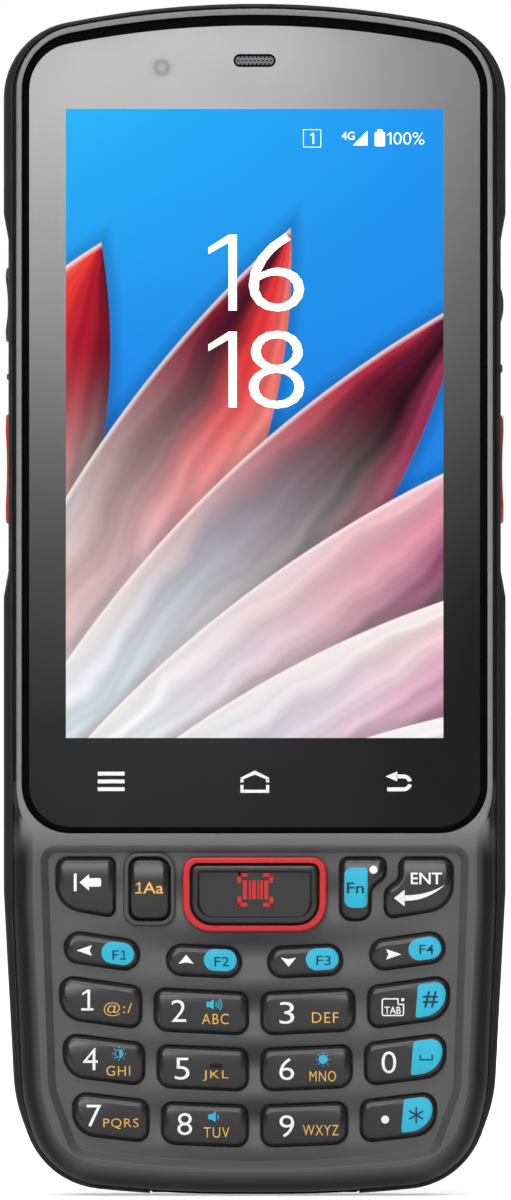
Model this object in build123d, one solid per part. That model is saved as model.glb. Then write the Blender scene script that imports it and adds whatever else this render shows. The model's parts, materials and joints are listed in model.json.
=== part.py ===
from build123d import *
import math
import os

# Handheld barcode data terminal, standing on its bottom end.
# +Z runs up to the scanner end, the screen and keys face -Y, +X is the user's right.
# The origin is the middle of the underside of the whole device. All sizes are millimetres.

# ---- driving dimensions ---------------------------------------------------------------------
# depth levels, from the front (-Y) to the back (+Y)
RIM_FRONT = -10.5        # lip round the screen and border round the keypad, the foremost face
GLASS_FRONT = -10.2
GLASS_BACK = -9.1
GASKET_FRONT = -10.05
LEDGE_FRONT = -9.0       # shelf of the front cover that carries the gasket
DECK_FIELD = -9.3        # sunk floor between the keys
DECK_BACK = -7.7
LEDGE_BACK = -7.4
LIP_FRONT = -7.7         # front edge of the rear housing
GROOVE_FLOOR = -7.0      # bottom of the groove between rim and rear housing
COVER_BACK = -4.9        # end of the front cover's skirt
MAIN_BOARD_FRONT, MAIN_BOARD_BACK = -4.4, -3.6
FLOOR_FRONT = -2.2       # front of the battery bay's floor
FLOOR_BACK = -1.0
BODY_INSIDE = 4.4
BODY_BACK = 6.6
HEAD_INSIDE = 8.8
HEAD_BACK = 10.5         # back of the scanner head, the rearmost face

# rear housing
WALL = 2.2
SIDE_TAPER = 0.0525      # how far each side leans in, per unit of height, below the taper's start
HIP_Z, HIP_R = 13.4, 20.0    # the bend where the sides turn in towards the bottom end
BOTTOM_R = 180.0         # bow of the bottom end, on both sides of a flat middle
BOTTOM_FLAT = 3.0        # half width of that middle
RECESS_DEPTH = 0.65      # long shallow recess along each side for the buttons
RECESS_LOW, RECESS_HIGH = 84.1, 133.2
RECESS_RAMP = 3.6
BACK_EDGE_R = 3.9
LIP_EDGE_R = 0.3
HEAD_RAMP_LOW, HEAD_RAMP_HIGH = 103.0, 117.0
HEAD_RAMP_R = 24.0
DEEP_POCKET_Z = 91.0     # above this the inside reaches back to the rear wall
PORT_ZONE_LOW, PORT_ZONE_HIGH = 3.2, 9.5    # between these it does too
HEAD_POCKET_Z = 119.0

# screen
GLASS_SIDE = 31.1
GLASS_BOTTOM = 50.6
GLASS_CHAMFER = 0.15
PANEL_HALF_WIDTH, PANEL_LOW, PANEL_HIGH = 27.4, 60.3, 152.0
SLOT_Z, SLOT_LENGTH, SLOT_HEIGHT = 156.0, 5.8, 1.8
SOUND_HOLE_R, SOUND_HOLE_PITCH, SOUND_ROW_PITCH = 0.15, 0.56, 0.48
CAMERA_X, CAMERA_Z = -12.74, 155.03

# keypad: the rows are rings round one centre far above, so the keys fan out like a smile
ROW_CENTRE_Z = 177.0
SHOULDER_R = 2.8         # big rounding of the deck's outer edge
FIELD_TOP, FIELD_LOW = 48.2, 3.64
FIELD_BOW_R = 170.0      # bow of the sunk floor's lower edge
FIELD_WALL_ANGLE = 42.0  # how far the walls of the sunk floor lean out
FIELD_EDGE_R = 0.2
KEY_GAP = 0.2            # between a key and its opening
KEY_CROWN = -10.5
KEY_BASE = -7.6
KEY_FLANGE_WIDTH = 0.55
KEY_FLANGE_BACK = -7.1
KEY_TRAVEL = 0.4
KEY_EDGE_R = 1.0
KEY_CROWN_R = 12.0
MAT_FRONT = KEY_FLANGE_BACK + KEY_TRAVEL + 0.05
MAT_BACK = MAT_FRONT + 0.55
KEYPAD_BOARD_FRONT, KEYPAD_BOARD_BACK = -5.9, -5.1
KEYPAD_BOARD_TOP = 49.6
DOME_R = 1.9
RING_SEAT = -8.6         # bottom of the pockets that hold the two key rings
ALPHA_RING_FRONT, SCAN_RING_FRONT = -10.0, -10.4
SEAT_GAP = 0.02          # slack round pieces that are glued or snapped into a seat

# battery
DOOR_HALF_WIDTH, DOOR_LOW, DOOR_HIGH = 25.0, 12.0, 90.0
DOOR_R = 3.0
DOOR_FRONT = 5.2
DOOR_GAP = 0.15
BAY_HALF_WIDTH, BAY_LOW, BAY_HIGH = 22.6, 14.4, 87.6
BAY_R = 1.5
SEAL_FRONT, SEAL_WIDTH = 4.6, 0.9
SEAL_HALF_WIDTH, SEAL_LOW, SEAL_HIGH = 24.4, 12.6, 89.4
CONTACT_HALF_WIDTH, CONTACT_LOW, CONTACT_HIGH = 4.0, 80.0, 84.0
LATCH_HALF_WIDTH, LATCH_LOW, LATCH_HIGH = 6.0, 91.9, 97.4
LATCH_TRAVEL = 2.0
LATCH_FRONT, LATCH_BACK = 5.5, 6.4

# side controls, given by the height range of their outer faces
SCAN_BUTTON_LOW, SCAN_BUTTON_HIGH = 92.4, 107.5
ROCKER_LOW, ROCKER_HIGH = 117.4, 127.7
POWER_LOW, POWER_HIGH = 120.0, 125.0
BUTTON_FACE_X = 34.28
BUTTON_Y = -1.9          # middle of the side controls in depth
WALL_INSIDE_X = 32.3
FLANGE_GROW = 0.5        # how far the stop flange reaches past the cap
ROCKER_PIVOT_X = 31.5
ROCKER_PIVOT_R = 0.6
SWITCH_FACE_X, SWITCH_BACK_X = 30.8, 29.3

# bottom port
PORT_HALF_WIDTH = 14.4
PORT_BACK_Y = 2.1
PORT_CEILING = 1.35
USB_Y = -2.9
USB_LENGTH, USB_HEIGHT, USB_WALL = 8.9, 3.2, 0.3
USB_LOW, USB_HIGH = 1.9, 9.2
HINGE_Y, HINGE_Z, KNUCKLE_R = 1.2, 0.95, 0.75

# scanner head
SCAN_HALF_WIDTH, SCAN_FRONT, SCAN_BACK = 10.3, 1.1, 8.1
SCAN_WINDOW_LOW, SCAN_WINDOW_HIGH = 161.8, 162.9
ENGINE_HALF_WIDTH, ENGINE_FRONT, ENGINE_BACK = 8.9, 1.2, 8.4
ENGINE_LOW, ENGINE_HIGH = 148.0, 161.2
REAR_CAM_X, REAR_CAM_Z, REAR_CAM_R = 16.5, 146.0, 3.1
REAR_WINDOW_R = 4.2
FLASH_Z, FLASH_R = 136.6, 1.65
SPEAKER_X, SPEAKER_Z = -17.5, 130.0
SPEAKER_SLOTS, SPEAKER_PITCH = 5, 2.2
SPEAKER_SLOT_LENGTH, SPEAKER_SLOT_HEIGHT = 10.0, 1.1
MOTOR_X, MOTOR_Z, MOTOR_R = 20.0, 126.0, 4.0

# fastenings and fittings on the back
SCREWS = [(28.0, 16.0, BODY_BACK), (28.0, 84.0, BODY_BACK), (26.5, 151.0, HEAD_BACK)]
SCREW_HEAD_R, SCREW_SHANK_R, SCREW_SINK, SCREW_LENGTH = 1.6, 0.8, 1.5, 8.5
DOCK_PADS, DOCK_PITCH, DOCK_PAD_HALF_WIDTH = 6, 3.0, 0.9
DOCK_LOW, DOCK_HIGH = 5.0, 7.6
LANYARD_X, LANYARD_Y, LANYARD_Z = 20.4, 5.2, 6.5
LANYARD_HALF_WIDTH, LANYARD_HALF_HEIGHT, LANYARD_BAR_R = 3.0, 2.6, 0.68


# ---- helpers ---------------------------------------------------------------------------------
def front_plane(y):
    """A drawing plane that faces the user at depth y, with X to the right and Z up."""
    return Plane(origin=(0, y, 0), x_dir=(1, 0, 0), z_dir=(0, -1, 0))


def slab(face, y_front, y_back):
    """A flat outline given a thickness from y_front back to y_back."""
    return extrude(front_plane(y_back) * face, amount=y_back - y_front)


def well(face, y_front, y_back, lean):
    """A pit that narrows towards the back, its walls leaning by an angle in degrees."""
    return extrude(front_plane(y_front) * face, amount=y_back - y_front, dir=(0, 1, 0), taper=lean)


def block(x0, x1, y0, y1, z0, z1):
    """A box given by its limits."""
    return Pos((x0 + x1) / 2, (y0 + y1) / 2, (z0 + z1) / 2) * Box(x1 - x0, y1 - y0, z1 - z0)


def rounded(x0, x1, z0, z1, radius):
    """A rectangle with equal rounded corners, by its limits."""
    return Pos((x0 + x1) / 2, (z0 + z1) / 2) * RectangleRounded(x1 - x0, z1 - z0, radius)


def centred(half_width, z0, z1, radius):
    """A rounded rectangle across the middle."""
    return rounded(-half_width, half_width, z0, z1, radius)


def rod_x(x, y, z, radius, length):
    """A round bar across the device, by its middle."""
    return Pos(x, y, z) * Rot(0, 90, 0) * Cylinder(radius, length)


def rod_y(x, z, radius, y_front, y_back):
    """A round bar along the depth."""
    return slab(Pos(x, z) * Circle(radius), y_front, y_back)


def band(low, high):
    """Everything between two heights, as a flat outline wider than the device."""
    return Pos(0, (low + high) / 2) * Rectangle(120, high - low)


def round_corners(outline, low_r, high_r):
    """Round the two lowest and the two highest corners of an outline."""
    outline = fillet(outline.vertices().sort_by(Axis.Y)[:2], low_r)
    return fillet(outline.vertices().sort_by(Axis.Y)[-2:], high_r)


def leaning_sides(side, taper_start, taper, hip_z, hip_lean, hip_r):
    """An upright outline with open-ended length: its sides lean in a little, and more below rounded hips."""
    top, foot_z = 180, -10
    hip = side - taper * (taper_start - hip_z)
    foot = hip - math.tan(math.radians(hip_lean)) * (hip_z - foot_z)
    sides = Polygon((-side, top), (-side, taper_start), (-hip, hip_z), (-foot, foot_z), (foot, foot_z),
                    (hip, hip_z), (side, taper_start), (side, top), align=None)
    return fillet([v for v in sides.vertices() if abs(v.Y - hip_z) < 0.01], hip_r)


def above_bottom_bow(low):
    """Everything above the bottom end's bow, up to twice its radius."""
    return Pos(0, low + BOTTOM_R) * SlotCenterToCenter(2 * BOTTOM_FLAT, 2 * BOTTOM_R)


def casing_outline(side, taper_start, taper, hip_lean, top, top_r, top_corner_r, bottom, bottom_corner_r):
    """The device's outline: sides that lean in towards the bottom, and two bowed ends."""
    sides = leaning_sides(side, taper_start, taper, HIP_Z, hip_lean, HIP_R)
    outline = sides & Pos(0, top - top_r) * Circle(top_r) & above_bottom_bow(bottom)
    low_corners = [v for v in outline.vertices() if v.Y < HIP_Z / 2 and abs(v.X) > side / 2]
    outline = fillet(low_corners, bottom_corner_r)
    return fillet(outline.vertices().sort_by(Axis.Y)[-2:], top_corner_r)


def bowed_rectangle(side, low, top, top_r, top_corner_r, low_corner_r):
    """An upright rectangle with a bowed top edge."""
    tall = Pos(0, (low + 180) / 2) * Rectangle(2 * side, 180 - low)
    return round_corners(tall & Pos(0, top - top_r) * Circle(top_r), low_corner_r, top_corner_r)


SHELL = casing_outline(34.5, 42, SIDE_TAPER, 20.0, 163.9, 130, 10.5, 0, 11.5)
INSERT = casing_outline(33.3, 40, 0.0455, 16.5, 163.4, 129.5, 9.6, 0.45, 11.0)
CORE = offset(SHELL, amount=-WALL)
RIM = bowed_rectangle(32.7, 44.2, 163.1, 130, 9.0, 12.0)
GASKET = bowed_rectangle(32.0, 49.84, 162.3, 130.5, 8.0, 6.6)
GLASS = bowed_rectangle(GLASS_SIDE, GLASS_BOTTOM, 160.95, 132, 6.6, 5.8)
INNER = offset(INSERT, amount=-3.0)
KEYPAD_SHEET = offset(INNER, amount=-0.2) & band(-5, KEYPAD_BOARD_TOP)
EARPIECE_SLOT = Pos(0, SLOT_Z) * SlotOverall(SLOT_LENGTH, SLOT_HEIGHT)


# ---- key outlines ----------------------------------------------------------------------------
def on_ring(x, radius):
    """The height at x of a ring round the row centre."""
    return ROW_CENTRE_Z - math.sqrt(radius * radius - x * x)


class Key:
    """One key: its outline and the point and lean of its crown."""

    def __init__(self, name, outline, x, z, lean=0.0):
        self.name = name
        self.outline = outline
        self.x = x
        self.z = z
        self.lean = lean


def row_key(name, x0, x1, ring, height, radii, side):
    """A key between two x limits on a ring; side is -1 on the left half and +1 on the right."""
    upper, lower = ring - height / 2, ring + height / 2
    points = [(x0, on_ring(x0, upper)), (x1, on_ring(x1, upper)),
              (x1, on_ring(x1, lower)), (x0, on_ring(x0, lower))]
    outline = make_face(FilletPolyline(*points, radius=radii, close=True))
    middle = (x0 + x1) / 2
    lean = math.degrees(math.asin(middle / ring))
    if side > 0:
        outline = mirror(outline, about=Plane.YZ)
        middle, lean = -middle, -lean
    return Key(name, outline, middle, on_ring(middle, ring), lean)


def free_key(name, points, radii):
    """A key with an outline of its own, from its corners and their rounding."""
    outline = make_face(FilletPolyline(*points, radius=radii, close=True))
    centre = outline.center()
    return Key(name, outline, centre.X, centre.Y)


def make_keys():
    """All keys, row by row from the top."""
    keys = [
        free_key("key_back", [(-27.2, 46.5), (-19.2, 46.5), (-19.2, 38.3), (-27.2, 39.8)],
                 [1.6, 1.0, 1.0, 3.8]),
        free_key("key_alpha", [(-17.2, 46.5), (-11.65, 46.5), (-11.65, 37.9), (-17.2, 37.9)],
                 [1.4, 1.8, 1.4, 1.4]),
        free_key("key_scan", [(-8.75, 45.6), (8.75, 45.6), (8.75, 37.35), (-8.75, 37.35)],
                 [1.0, 1.0, 3.0, 3.0]),
        free_key("key_fn", [(11.75, 46.5), (18.0, 46.5), (18.0, 43.85), (15.9, 42.4), (15.9, 37.9),
                            (11.75, 37.9)], [1.2, 1.0, 1.6, 2.0, 1.6, 1.6]),
        free_key("key_enter", [(19.9, 46.5), (27.2, 46.5), (27.2, 39.7), (17.9, 38.1), (17.9, 42.05),
                               (19.9, 43.45)], [1.2, 1.6, 3.8, 1.2, 1.5, 1.7]),
    ]
    rows = [  # ring radius, height, outer key, inner key: each (x0, x1, corner radii)
        (144.95, 4.1, (-26.05, -15.9, [2.0] * 4), (-12.0, -1.9, [2.0] * 4)),
        (151.95, 5.66, (-26.7, -15.6, [1.8, 1.5, 1.5, 3.3]), (-13.7, -0.95, [1.4, 1.4, 1.6, 1.9])),
        (159.67, 5.66, (-26.2, -15.2, [1.8, 1.5, 1.5, 3.3]), (-13.3, -0.95, [1.4, 1.4, 1.6, 1.9])),
        (167.4, 5.6, (-24.9, -14.6, [1.8, 1.5, 1.5, 3.3]), (-12.7, -0.95, [1.4, 1.4, 1.6, 1.9])),
    ]
    names = [("f1", "f2", "f3", "f4"), ("1", "2", "3", "tab"), ("4", "5", "6", "0"), ("7", "8", "9", "dot")]
    for (ring, height, outer, inner), (far_left, left, right, far_right) in zip(rows, names):
        keys.append(row_key(f"key_{far_left}", outer[0], outer[1], ring, height, outer[2], -1))
        keys.append(row_key(f"key_{left}", inner[0], inner[1], ring, height, inner[2], -1))
        keys.append(row_key(f"key_{right}", inner[0], inner[1], ring, height, inner[2], 1))
        keys.append(row_key(f"key_{far_right}", outer[0], outer[1], ring, height, outer[2], 1))
    return keys


KEYS = make_keys()
KEY = {key.name: key for key in KEYS}
SCAN_RING = make_face(FilletPolyline((-9.9, 46.6), (9.9, 46.6), (9.9, 36.35), (-9.9, 36.35),
                                     radius=[1.9, 1.9, 3.9, 3.9], close=True))
ALPHA_RING = make_face(FilletPolyline((-18.0, 47.2), (-10.9, 47.2), (-10.9, 37.15), (-18.0, 37.15),
                                      radius=[2.0, 2.4, 2.0, 2.0], close=True))


def key_flange(key):
    """The wide foot that stops a key falling out of the deck."""
    return slab(offset(key.outline, amount=KEY_FLANGE_WIDTH), KEY_BASE, KEY_FLANGE_BACK)


def key_cap(key):
    """A pillow-topped cap on its flange."""
    cap = slab(key.outline, KEY_CROWN - 0.5, KEY_BASE)
    crown = Pos(key.x, KEY_CROWN + KEY_CROWN_R, key.z) * Rot(0, key.lean, 0) * Rot(0, 90, 0)
    cap = cap & (crown * Cylinder(KEY_CROWN_R, 40))
    top = cap.faces().filter_by(GeomType.CYLINDER).sort_by(SortBy.AREA)[-1]
    return fillet(top.edges(), KEY_EDGE_R) + key_flange(key)


def scan_cap(key):
    """The big middle key: a flat rounded cap with a shallow dish for the thumb."""
    cap = slab(key.outline, KEY_CROWN + 0.1, KEY_BASE)
    cap = fillet(cap.faces().sort_by(Axis.Y)[0].edges(), 0.6)
    dish = well(offset(key.outline, amount=-0.85), KEY_CROWN + 0.1, KEY_CROWN + 0.5, 40)
    return cap - dish + key_flange(key)


def key_ring(outline, key, front):
    """A raised ring round a key, seated in a pocket of the deck."""
    ring = slab(offset(outline, amount=-SEAT_GAP), front, RING_SEAT)
    ring = fillet(ring.faces().sort_by(Axis.Y)[0].edges(), 0.3)
    return ring - slab(offset(key.outline, amount=KEY_GAP), front - 1, RING_SEAT + 1)


# ---- front half ------------------------------------------------------------------------------
def keypad_field():
    """The mouth of the sunk floor between the keys: leaning sides with hips and a bowed lower edge."""
    sides = leaning_sides(29.5, FIELD_TOP, 0.034, 14.5, 20.0, 8.0) & band(-5, FIELD_TOP)
    return round_corners(sides & Pos(0, FIELD_LOW + FIELD_BOW_R) * Circle(FIELD_BOW_R), 3.0, 2.2)


def front_cover():
    """The front moulding: screen rim, gasket shelf, keypad deck with its key openings, and skirt."""
    skirt_outline = offset(INSERT, amount=-0.05)
    skirt = slab(skirt_outline, GROOVE_FLOOR, COVER_BACK)
    rim = slab(RIM, RIM_FRONT, GROOVE_FLOOR)
    rim = fillet(rim.faces().sort_by(Axis.Y)[0].edges(), 0.35)
    # the deck, with a ramp that brings its top end down into the groove beside the rim
    deck_top, ramp_foot = 57.0, 49.0
    deck = slab(skirt_outline & band(-5, deck_top), RIM_FRONT, GROOVE_FLOOR)
    shoulder = [e for e in deck.faces().sort_by(Axis.Y)[0].edges() if e.center().Z < deck_top - 0.1]
    deck = fillet(shoulder, SHOULDER_R)
    ramp = Polygon((RIM_FRONT - 1, ramp_foot), (GROOVE_FLOOR, deck_top), (GROOVE_FLOOR, deck_top + 3),
                   (RIM_FRONT - 1, deck_top + 3), align=None)
    deck -= extrude(Plane.YZ * ramp, amount=40, both=True)
    cover = skirt + rim + deck
    # sunk keypad floor with a softened mouth
    cover -= well(keypad_field(), RIM_FRONT, DECK_FIELD, FIELD_WALL_ANGLE)
    crest = cover.faces().sort_by(Axis.Y)[0]
    cover = fillet(crest.inner_wires()[0].edges(), FIELD_EDGE_R)
    # seat of glass and gasket, window over the display, then the hollow back
    cover -= slab(GASKET, RIM_FRONT - 1, LEDGE_FRONT)
    cover -= slab(rounded(-27.6, 27.6, 60.1, 152.2, 0.8), RIM_FRONT, COVER_BACK + 1)
    cover -= slab(INNER & band(-5, 50), DECK_BACK, COVER_BACK + 1)
    cover -= slab(INNER & band(52, 170), LEDGE_BACK, COVER_BACK + 1)
    for outline in (SCAN_RING, ALPHA_RING):
        cover -= slab(outline, RIM_FRONT, RING_SEAT)
    for key in KEYS:
        cover -= slab(offset(key.outline, amount=KEY_GAP), RIM_FRONT, DECK_BACK + 1)
    cover -= rod_y(CAMERA_X, CAMERA_Z, 2.6, RIM_FRONT, COVER_BACK + 1)
    cover -= slab(rounded(-5.1, 5.1, SLOT_Z - 2.3, SLOT_Z + 2.3, 0.8), RIM_FRONT, COVER_BACK + 1)
    return cover


def cover_glass():
    """The screen's cover glass, with a slot for the earpiece."""
    glass = slab(GLASS, GLASS_FRONT, GLASS_BACK)
    glass = chamfer(glass.faces().sort_by(Axis.Y)[0].edges(), GLASS_CHAMFER)
    return glass - slab(EARPIECE_SLOT, GLASS_FRONT - 1, GLASS_BACK + 1)


def glass_gasket():
    """An angled seal: an upright lip between glass and rim, and a thin foot under the glass edge."""
    lip = slab(offset(GASKET, amount=-SEAT_GAP), GASKET_FRONT, LEDGE_FRONT)
    lip -= slab(offset(GLASS, amount=SEAT_GAP), GASKET_FRONT - 1, GLASS_BACK)
    return lip - slab(offset(GLASS, amount=-1.4), GLASS_BACK - 1, LEDGE_FRONT + 1)


def display_panel():
    """The display module behind the glass."""
    return slab(centred(PANEL_HALF_WIDTH, PANEL_LOW, PANEL_HIGH, 0.6), GLASS_BACK, LEDGE_BACK)


def earpiece_mesh():
    """The insert that fills the earpiece slot, with three rows of sound holes."""
    insert = slab(EARPIECE_SLOT, GLASS_FRONT + 0.15, GLASS_BACK - 0.3)
    for row, count in ((-1, 8), (0, 9), (1, 8)):
        for i in range(count):
            x = (i - (count - 1) / 2) * SOUND_HOLE_PITCH
            z = SLOT_Z + row * SOUND_ROW_PITCH
            insert -= rod_y(x, z, SOUND_HOLE_R, GLASS_FRONT - 1, GLASS_BACK + 1)
    return insert


def earpiece_receiver():
    """The small loudspeaker behind the earpiece slot."""
    return slab(rounded(-5.0, 5.0, SLOT_Z - 2.2, SLOT_Z + 2.2, 0.7), GLASS_BACK + 0.4, COVER_BACK - 1.1)


def front_camera():
    """The front camera: a stepped barrel under the glass with a lens face."""
    barrel = rod_y(CAMERA_X, CAMERA_Z, 1.7, GLASS_BACK, LEDGE_BACK)
    module = rod_y(CAMERA_X, CAMERA_Z, 2.4, LEDGE_BACK, COVER_BACK - 0.2)
    return barrel + module - rod_y(CAMERA_X, CAMERA_Z, 1.2, GLASS_BACK - 1, GLASS_BACK + 0.3)


def mid_frame():
    """The stiff tray between screen and board, with ribs on its back."""
    tray_back, rib_back, half_rib = -6.3, -5.3, 0.5
    tray = slab(centred(29.6, 52.6, 152.4, 2.0), LEDGE_BACK + 0.1, tray_back)
    for z in (62, 82, 102, 122, 142):
        tray += block(-27, 27, tray_back, rib_back, z - half_rib, z + half_rib)
    for x in (-20, 0, 20):
        tray += block(x - half_rib, x + half_rib, tray_back, rib_back, 55, 150)
    return tray


def keypad_board():
    """The circuit board under the keys."""
    return slab(KEYPAD_SHEET, KEYPAD_BOARD_FRONT, KEYPAD_BOARD_BACK)


def keypad_mat():
    """The silicone sheet behind the keys."""
    return slab(KEYPAD_SHEET, MAT_FRONT, MAT_BACK)


def dome_sheet():
    """One metal snap dome behind each key."""
    return Compound([rod_y(key.x, key.z, DOME_R, MAT_BACK, KEYPAD_BOARD_FRONT).solid() for key in KEYS])


# ---- side controls ---------------------------------------------------------------------------
def capsule_x(side, x0, x1, limits, height, grow=0.0):
    """A bar along X on one side whose section is an upright slot, its height measured in depth."""
    low, high = limits
    plane = Plane(origin=(side * min(x0, x1), BUTTON_Y, (low + high) / 2), x_dir=(0, 0, 1),
                  z_dir=(side, 0, 0))
    return extrude(plane * SlotOverall(high - low + 2 * grow, height + 2 * grow), amount=abs(x1 - x0))


class SideControl:
    """A key in the side wall: which side, its height range, its size in depth and its slack."""

    def __init__(self, side, low, high, depth, slack):
        self.side = side
        self.limits = (low, high)
        self.middle = (low + high) / 2
        self.depth = depth
        self.slack = slack

    def opening(self):
        """The hole in the wall that it moves in."""
        return capsule_x(self.side, WALL_INSIDE_X - 1.3, BUTTON_FACE_X + 1.7, self.limits, self.depth,
                         self.slack)

    def cap(self, flange_x):
        """The part that shows, with rounded edges, back to the face of its stop flange."""
        cap = capsule_x(self.side, flange_x, BUTTON_FACE_X, self.limits, self.depth)
        outer = cap.faces().sort_by(Axis.X)[0 if self.side < 0 else -1]
        return fillet(outer.edges(), 0.35)

    def flange(self, flange_x):
        """The stop flange behind the wall."""
        return capsule_x(self.side, flange_x - 0.5, flange_x, self.limits, self.depth, FLANGE_GROW)

    def scoop(self, radius, depth):
        """A shallow hollow along the outer face, to subtract from a cap."""
        x = self.side * (BUTTON_FACE_X - depth + radius)
        return slab(Pos(x, self.middle) * Circle(radius), BUTTON_Y - self.depth, BUTTON_Y + self.depth)


SIDE_CONTROLS = {
    "scan_button_left": SideControl(-1, SCAN_BUTTON_LOW, SCAN_BUTTON_HIGH, 4.6, 0.12),
    "scan_button_right": SideControl(1, SCAN_BUTTON_LOW, SCAN_BUTTON_HIGH, 4.6, 0.12),
    "volume_rocker": SideControl(-1, ROCKER_LOW, ROCKER_HIGH, 3.4, 0.2),
    "power_button": SideControl(1, POWER_LOW, POWER_HIGH, 3.4, 0.12),
}


def scan_button(name):
    """A long trigger key, slightly hollow along its length for the fingertip."""
    control = SIDE_CONTROLS[name]
    flange_x = WALL_INSIDE_X - 0.1
    return control.cap(flange_x) - control.scoop(70.0, 0.18) + control.flange(flange_x)


def volume_rocker():
    """The volume key: raised ends, hollow middle, and a pivot pin behind the wall."""
    control = SIDE_CONTROLS["volume_rocker"]
    flange_x = ROCKER_PIVOT_X + 0.4
    pin = rod_y(-ROCKER_PIVOT_X, control.middle, ROCKER_PIVOT_R, BUTTON_Y - 2.8, BUTTON_Y + 2.8)
    return control.cap(flange_x) - control.scoop(20.0, 0.3) + control.flange(flange_x) + pin


def power_button():
    """The power key: short and domed."""
    control = SIDE_CONTROLS["power_button"]
    flange_x = WALL_INSIDE_X - 0.1
    dome_r = 8.0
    dome = rod_y(BUTTON_FACE_X - dome_r, control.middle, dome_r, BUTTON_Y - 3, BUTTON_Y + 3)
    return (control.cap(flange_x) & dome) + control.flange(flange_x)


def side_switches():
    """The small switches behind the side controls: two under the rocker's ends, one under the others."""
    switches = []
    for name, control in SIDE_CONTROLS.items():
        for offset_z in (-3.2, 3.2) if name == "volume_rocker" else (0.0,):
            z = control.middle + offset_z
            x0, x1 = sorted((control.side * SWITCH_BACK_X, control.side * SWITCH_FACE_X))
            switches.append(block(x0, x1, BUTTON_Y - 1.2, BUTTON_Y + 1.2, z - 1.6, z + 1.6).solid())
    return Compound(switches)


# ---- rear half -------------------------------------------------------------------------------
def back_profile():
    """Side view of the rear housing: a flat back that steps out to the scanner head."""
    side_view = Polygon((LIP_FRONT, -5), (BODY_BACK, -5), (BODY_BACK, HEAD_RAMP_LOW),
                        (HEAD_BACK, HEAD_RAMP_HIGH), (HEAD_BACK, 170), (LIP_FRONT, 170), align=None)
    bends = [v for v in side_view.vertices() if HEAD_RAMP_LOW - 1 < v.Y < HEAD_RAMP_HIGH + 1]
    return fillet(bends, HEAD_RAMP_R)


def side_recess(side):
    """The shallow trough along one side, with sloped ends."""
    outer, inner = 36.0, 34.5 - RECESS_DEPTH
    run = RECESS_RAMP * (outer - inner) / RECESS_DEPTH
    half = RECESS_RAMP / 2
    points = [(side * outer, RECESS_LOW - run + half), (side * inner, RECESS_LOW + half),
              (side * inner, RECESS_HIGH - half), (side * outer, RECESS_HIGH + run - half)]
    return make_face(Polyline(*points, close=True))


def side_nub(side, z, radius):
    """A small round catch in a side recess that a cradle's arm clicks over."""
    recess_x = 34.5 - RECESS_DEPTH
    nub = rod_x(side * (recess_x - 0.1), BUTTON_Y, z, radius, 0.8)
    return fillet(nub.faces().sort_by(Axis.X)[0 if side < 0 else -1].edges(), 0.25)


def housing_shell():
    """The closed outer form: bowed outline, stepped back, big rounded back edge and side recesses."""
    shell = slab(SHELL, LIP_FRONT, HEAD_BACK) & extrude(Plane.YZ * back_profile(), amount=60, both=True)
    back_edges = [edge for face in shell.faces() if face.normal_at().Y > 0.5 for edge in face.edges()]
    outer_edges = [edge for edge in back_edges if sum(edge.is_same(other) for other in back_edges) == 1]
    shell = fillet(outer_edges, BACK_EDGE_R)
    for side in (-1, 1):
        shell -= slab(side_recess(side), LIP_FRONT - 1, HEAD_BACK + 1)
    front = shell.faces().sort_by(Axis.Y)[0]
    return fillet(front.edges(), LIP_EDGE_R)


def housing_cavities():
    """Everything hollow inside the rear housing: seat of the front cover, tub, head and battery bay."""
    return [
        slab(INSERT, LIP_FRONT - 1, COVER_BACK),
        slab(CORE, COVER_BACK - 0.1, FLOOR_FRONT),
        slab(CORE & band(DEEP_POCKET_Z, 170), FLOOR_FRONT - 0.1, BODY_INSIDE),
        slab(CORE & band(HEAD_POCKET_Z, 170), BODY_INSIDE - 0.1, HEAD_INSIDE),
        slab(CORE & band(PORT_ZONE_LOW, PORT_ZONE_HIGH), FLOOR_FRONT - 0.1, BODY_INSIDE),
        slab(centred(BAY_HALF_WIDTH, BAY_LOW, BAY_HIGH, BAY_R), FLOOR_BACK, BODY_BACK + 1),
        slab(centred(DOOR_HALF_WIDTH, DOOR_LOW, DOOR_HIGH, DOOR_R), DOOR_FRONT, BODY_BACK + 1),
        seal_ring(0.0),
        block(-CONTACT_HALF_WIDTH - 0.1, CONTACT_HALF_WIDTH + 0.1, FLOOR_FRONT - 1, FLOOR_BACK + 1,
              CONTACT_LOW - 0.1, CONTACT_HIGH + 0.1),
        block(-LATCH_HALF_WIDTH - 0.2, LATCH_HALF_WIDTH + 0.2, LATCH_FRONT - 0.1, BODY_BACK + 1,
              LATCH_LOW - 0.3, LATCH_HIGH + LATCH_TRAVEL + 0.2),
    ]


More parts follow.
